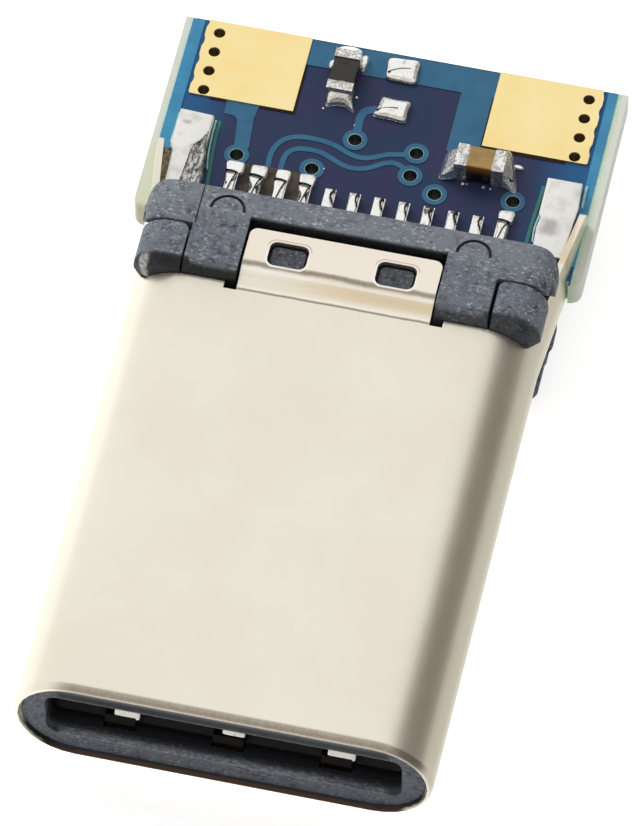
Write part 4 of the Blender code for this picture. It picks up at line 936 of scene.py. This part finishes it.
# Each joint: its height, its peak, how its top leans, and its outline.
JOINTS = {
    "resistor_solder_front": (
        0.34, (-1.08, 15.36), (0.0, 0.85),
        [(-1.33, 15.5), (-0.86, 15.55), (-0.8, 15.2), (-0.69, 14.97), (-0.86, 15.1), (-1.01, 15.13),
         (-1.24, 15.09), (-1.34, 15.02), (-1.36, 15.25)],
    ),
    "resistor_solder_rear": (
        0.35, (-1.1, 16.3), (0.0, -0.7),
        [(-1.42, 16.2), (-0.86, 16.22), (-0.8, 16.5), (-1.1, 16.56), (-1.4, 16.5)],
    ),
    "capacitor_solder_left": (
        0.47, (1.58, 14.14), (1.15, 0.0),
        [(1.27, 14.55), (1.44, 14.44), (1.64, 14.46), (1.64, 13.84), (1.5, 13.82), (1.2, 13.76),
         (1.27, 14.02), (1.25, 14.25)],
    ),
    "capacitor_solder_right": (
        0.47, (2.54, 14.14), (-1.15, 0.25),
        [(2.46, 14.46), (2.56, 14.64), (2.7, 14.38), (2.78, 14.16), (2.88, 13.77), (2.74, 13.79),
         (2.58, 13.87), (2.46, 13.86)],
    ),
    "spare_pad_solder_front": (
        0.15, (0.08, 15.22), (0.0, 0.0),
        pointed([(-0.3, 15.54), (0.4, 15.52), (0.37, 14.95), (-0.41, 14.99)], 0.55),
    ),
    "spare_pad_solder_rear": (
        0.15, (0.04, 16.18), (0.0, 0.0),
        pointed([(-0.38, 16.51), (0.35, 16.55), (0.37, 15.92), (-0.33, 15.94)], 0.3),
    ),
}
SPLASHES = (
    (0.16, [(-0.92, 16.42), (-0.7, 16.45), (-0.7, 16.2), (-0.74, 15.94), (-0.84, 16.0)]),
    (0.12, [(-1.44, 16.18), (-1.5, 16.06), (-1.46, 15.93), (-1.34, 15.95), (-1.34, 16.2)]),
    (0.07, [(2.62, 14.48), (2.86, 14.46), (2.9, 14.39), (2.84, 14.36), (2.64, 14.36)]),
)
DROPS = (
    (1.76, 13.79, 0.045), (1.84, 13.81, 0.035), (2.18, 13.8, 0.045), (2.32, 13.79, 0.030),
    (-1.36, 15.0, 0.030), (-0.76, 15.4, 0.040), (-0.66, 14.73, 0.022), (-1.02, 13.56, 0.022),
    (1.4, 13.47, 0.020),
)
PAD_CREASES = (
    ((-0.3, 15.11), (-0.08, 15.22), (0.12, 15.24)),
    ((-0.27, 16.08), (-0.05, 16.22), (0.16, 16.25)),
)
LEFT_TAB = (
    (-4.11, 14.24), (-3.42, 14.21), (-3.42, 13.78), (-3.5, 13.47), (-3.69, 13.42), (-3.71, 12.3),
    (-4.02, 12.3), (-4.05, 13.22), (-4.12, 13.36), (-4.08, 13.63),
)
LEFT_REWORK = [
    (-3.68, 13.44), (-3.53, 13.62), (-3.43, 13.9), (-3.4, 13.5), (-3.33, 12.95), (-3.31, 12.1),
    (-3.8, 12.1), (-3.74, 12.64),
]
RIGHT_TAB = (
    (3.49, 14.15), (4.12, 14.18), (4.16, 13.54), (4.13, 13.2), (4.08, 12.3), (3.46, 12.3),
    (3.42, 12.97), (3.48, 13.34), (3.48, 13.7),
)


class PLUG_OT_solder(bpy.types.Operator):
    """Build the solder on the tails, tabs, chips and spare pads"""

    bl_idname = "plug.solder"
    bl_label = "Solder"

    def execute(self, context):
        solder = context.scene.plug_solder
        self.ripple = solder.ripple / MM
        self.build_tails(solder.joint_height / MM)
        finish = solder_finish()
        for name, (height, peak, tilt, outline) in JOINTS.items():
            joint = bmesh.new()
            puddle(joint, outline, height, peak=peak, tilt=tilt, ripple=self.ripple * 1.4, seed=len(name))
            soften(new_piece("bright_" + name, joint, finish, (name,)), 2)
        splashes = bmesh.new()
        for height, outline in SPLASHES:
            puddle(splashes, outline, height, ripple=self.ripple, seed=height)
        for x, depth, radius in DROPS:
            turns = [math.tau * step / 8 for step in range(8)]
            outline = [(x + radius * math.cos(turn), depth + radius * math.sin(turn)) for turn in turns]
            puddle(splashes, outline, radius, ripple=0.0)
        soften(new_piece("solder_splashes", splashes, finish), 2)
        tabs = bmesh.new()
        for outline in (LEFT_TAB, RIGHT_TAB):
            plate(tabs, outline, 0.235, 0.19)
        tab_solder = new_piece("tab_solder", tabs, tab_finish())
        edge = tab_solder.modifiers.new("rounded edge", "BEVEL")
        edge.width = 0.035 * MM
        edge.segments = 3
        tab_solder.data.shade_smooth()
        rework = bmesh.new()
        puddle(rework, pointed(LEFT_REWORK, 0.0), 0.265, ripple=self.ripple * 2.5, seed=7, crown=0.9)
        soften(new_piece("reworked_solder", rework, rough_solder_finish()), 2)
        return {"FINISHED"}

    def build_tails(self, tall):
        tails = bmesh.new()
        crease_shade = bmesh.new()
        top = tall + 0.035

        def patch(outline, height, **choices):
            puddle(tails, pointed(outline, 0.0), height, ripple=self.ripple, **choices)

        for number, x in enumerate(TAILS):
            if number in WIDE_TAILS:
                pad_left, pad_right, left, right = WIDE_TAILS[number]
                pad = [(pad_left - 0.02, 13.29), (pad_right + 0.03, 13.3), (pad_right, 13.0),
                       (left, 13.02)]
                patch(pad, tall * 0.6, seed=number, crown=0.9)
                foot = [(left, 12.99), (right, 12.97), (right - 0.01, 12.7), (x + 0.12, 12.15),
                        (x - 0.12, 12.15), (left + 0.05, 12.7)]
                patch(foot, tall, peak=(x, 12.75), seed=number + 20, crown=0.85)
                # Painted shade: dark strips along the bend between pad and foot and down the crease of each
                # wide tail.
                bend_shade = ((left + 0.01, 13.0), (x - 0.02, 13.01), (right - 0.02, 12.975))
                trace(crease_shade, bend_shade, 0.010, top - 0.028)
                trace(crease_shade, ((right - 0.04, 12.94), (x + 0.03, 12.82), (x - 0.03, 12.5)), 0.018, top)
            else:
                foot = [(x - 0.12, 12.15), (x + 0.11, 12.15), (x + 0.11, 12.9), (x + 0.06, 13.02),
                        (x - 0.08, 13.02), (x - 0.12, 12.9)]
                patch(foot, tall, peak=(x - 0.01, 12.7), seed=number, crown=0.85)
                # Painted shade: a dark line down the right side of each narrow tail.
                stray = noise.noise(Vector((number * 1.7, 0.3, 0.0))) * 0.06
                right_side_shade = ((x + 0.08, 12.97), (x + 0.03 + stray, 12.9), (x + 0.03 - stray, 12.8 + stray),
                        (x + 0.09, 12.68 - stray))
                trace(crease_shade, right_side_shade, 0.030 + abs(stray) * 0.5, top)
        soften(new_piece("tail_solder", tails, solder_finish("tail_tin", 0.25)))
        # Painted shade in the creases of the spare pads' solder.
        for crease in PAD_CREASES:
            trace(crease_shade, crease, 0.015, 0.160)
        dark = plain_finish("crease_shade_finish", colours().solder_dark, (0.01, 0.01, 0.01))
        new_piece("solder_crease_shade", crease_shade, dark)


def lamp(name, place, size, power):
    """A large soft lamp that points at the plug and that metal doesn't reflect."""
    light = bpy.data.lights.new(name, "AREA")
    light.shape = "SQUARE"
    light.size = size
    light.energy = power
    holder = bpy.data.objects.new(name, light)
    holder.location = place
    holder.visible_glossy = False
    holder.rotation_euler = (Vector((0, 0, 0)) - Vector(place)).to_track_quat("-Z", "Y").to_euler()
    bpy.context.scene.collection.objects.link(holder)


# The lamp, in metres.
KEY_PLACE = (-0.36, 0.3, 0.38)
KEY_SIZE = 0.3

# The cards that the metal reflects: their corners in millimetres, and their share of the flags' grey.
FLAGS = {
    "side_flag": (((12, -60, 0.7), (12, 260, 0.7), (100, 260, 150), (100, -60, 150)), 1.0),
    "apron_flag": (((4.9, -60, 0.15), (12, -60, 0.15), (12, 260, 0.15), (4.9, 260, 0.15)), 0.0),
    "front_flag": (((-150, -205, 70), (90, -205, 70), (90, -80, 230), (-150, -80, 230)), 3.2),
}
APRON_GREY = (0.66, 0.65, 0.61)
FLOOR_GREY = (0.86, 0.86, 0.86)
FLOOR_GLOW = 0.68


class PLUG_OT_studio(bpy.types.Operator):
    """Set the floor, the lamps, the flags, the world and the camera"""

    bl_idname = "plug.studio"
    bl_label = "Studio"

    def execute(self, context):
        studio = context.scene.plug_studio
        self.build_floor(studio.floor_size)
        self.build_world(context.scene, studio.surround)
        lamp("key_lamp", KEY_PLACE, KEY_SIZE, studio.key)
        for name, (corners, share) in FLAGS.items():
            self.build_flag(name, corners, tinted(studio.flag, share) if share else APRON_GREY)
        self.place_camera(context.scene)
        context.scene.view_settings.view_transform = "Standard"
        return {"FINISHED"}

    def build_flag(self, name, corners, colour):
        """A card that only reflections see."""
        bm = bmesh.new()
        bm.faces.new([bm.verts.new(Vector(corner) * MM) for corner in corners])
        glow = {"emission_color": colour, "emission_strength": 1.0}
        finish = Finish(name, base_color=(0.0, 0.0, 0.0), specular_ior_level=0.0, **glow)
        flag = linked(name, bm, finish)
        flag.visible_camera = False
        flag.visible_diffuse = False
        flag.visible_transmission = False
        flag.visible_shadow = False

    def build_floor(self, side):
        bm = bmesh.new()
        bmesh.ops.create_grid(bm, x_segments=4, y_segments=4, size=side / 2)
        finish = Finish("pale_floor", base_color=FLOOR_GREY, roughness=0.9, specular_ior_level=0.0)
        finish.vary("Emission Color", (1.0, 1.0, 1.0))
        finish.vary("Emission Strength", finish.background() * FLOOR_GLOW)
        floor = linked("floor", bm, finish)

    def build_world(self, scene, strength):
        world = bpy.data.worlds.new("studio_world")
        world.use_nodes = True
        recipe = Recipe(world.node_tree)
        sky = recipe.tree.nodes["Background"]
        ends = {"Value": recipe.background(), "To Min": strength, "To Max": 1.0}
        recipe.feed(sky.inputs["Color"], (1.0, 1.0, 1.0))
        recipe.feed(sky.inputs["Strength"], recipe.node("ShaderNodeMapRange", None, ends))
        scene.world = world

    def place_camera(self, scene):
        level = math.cos(ELEVATION)
        back = Vector((math.sin(AZIMUTH) * level, -math.cos(AZIMUTH) * level, math.sin(ELEVATION)))
        right = Vector((math.cos(AZIMUTH), math.sin(AZIMUTH), 0.0))
        up = back.cross(right)
        data = bpy.data.cameras.new("photo_camera")
        data.sensor_fit = "AUTO"
        data.sensor_width = SENSOR
        data.lens = SENSOR * FOCAL_LENGTH / FRAME_HEIGHT
        data.clip_start = 0.01
        data.clip_end = 10.0
        camera = bpy.data.objects.new("photo_camera", data)
        place = (TARGET + right * SHIFT_RIGHT + up * SHIFT_UP + back * DISTANCE) * MM
        turn = Matrix((right, up, back)).transposed().to_4x4()
        camera.matrix_world = Matrix.Translation(place) @ turn
        scene.collection.objects.link(camera)
        scene.camera = camera


STEPS = (
    PLUG_OT_shell,
    PLUG_OT_inner_metal,
    PLUG_OT_mouldings,
    PLUG_OT_board,
    PLUG_OT_copper,
    PLUG_OT_openings,
    PLUG_OT_wire_pads,
    PLUG_OT_chips,
    PLUG_OT_solder,
    PLUG_OT_studio,
)
GROUPS = {
    "plug_colours": PlugColours,
    "plug_board": PlugBoardSizes,
    "plug_solder": PlugSolderSizes,
    "plug_studio": PlugStudio,
}


class PLUG_PT_dressing(bpy.types.Panel):
    """Lists the sizes, the colours and the steps that dress the plug"""

    bl_label = "Plug dressing"
    bl_idname = "PLUG_PT_dressing"
    bl_space_type = "VIEW_3D"
    bl_region_type = "UI"
    bl_category = "Plug"

    def draw(self, context):
        for name in GROUPS:
            group = getattr(context.scene, name)
            box = self.layout.box()
            for choice in group.__annotations__:
                box.prop(group, choice)
        for step in STEPS:
            self.layout.operator(step.bl_idname)


def register():
    for name, group in GROUPS.items():
        bpy.utils.register_class(group)
        setattr(bpy.types.Scene, name, bpy.props.PointerProperty(type=group))
    for step in STEPS:
        bpy.utils.register_class(step)
    bpy.utils.register_class(PLUG_PT_dressing)


def unregister():
    bpy.utils.unregister_class(PLUG_PT_dressing)
    for step in reversed(STEPS):
        bpy.utils.unregister_class(step)
    for name, group in GROUPS.items():
        delattr(bpy.types.Scene, name)
        bpy.utils.unregister_class(group)


def main():
    register()
    for step in STEPS:
        family, name = step.bl_idname.split(".")
        getattr(getattr(bpy.ops, family), name)()


if __name__ == "__main__":
    main()
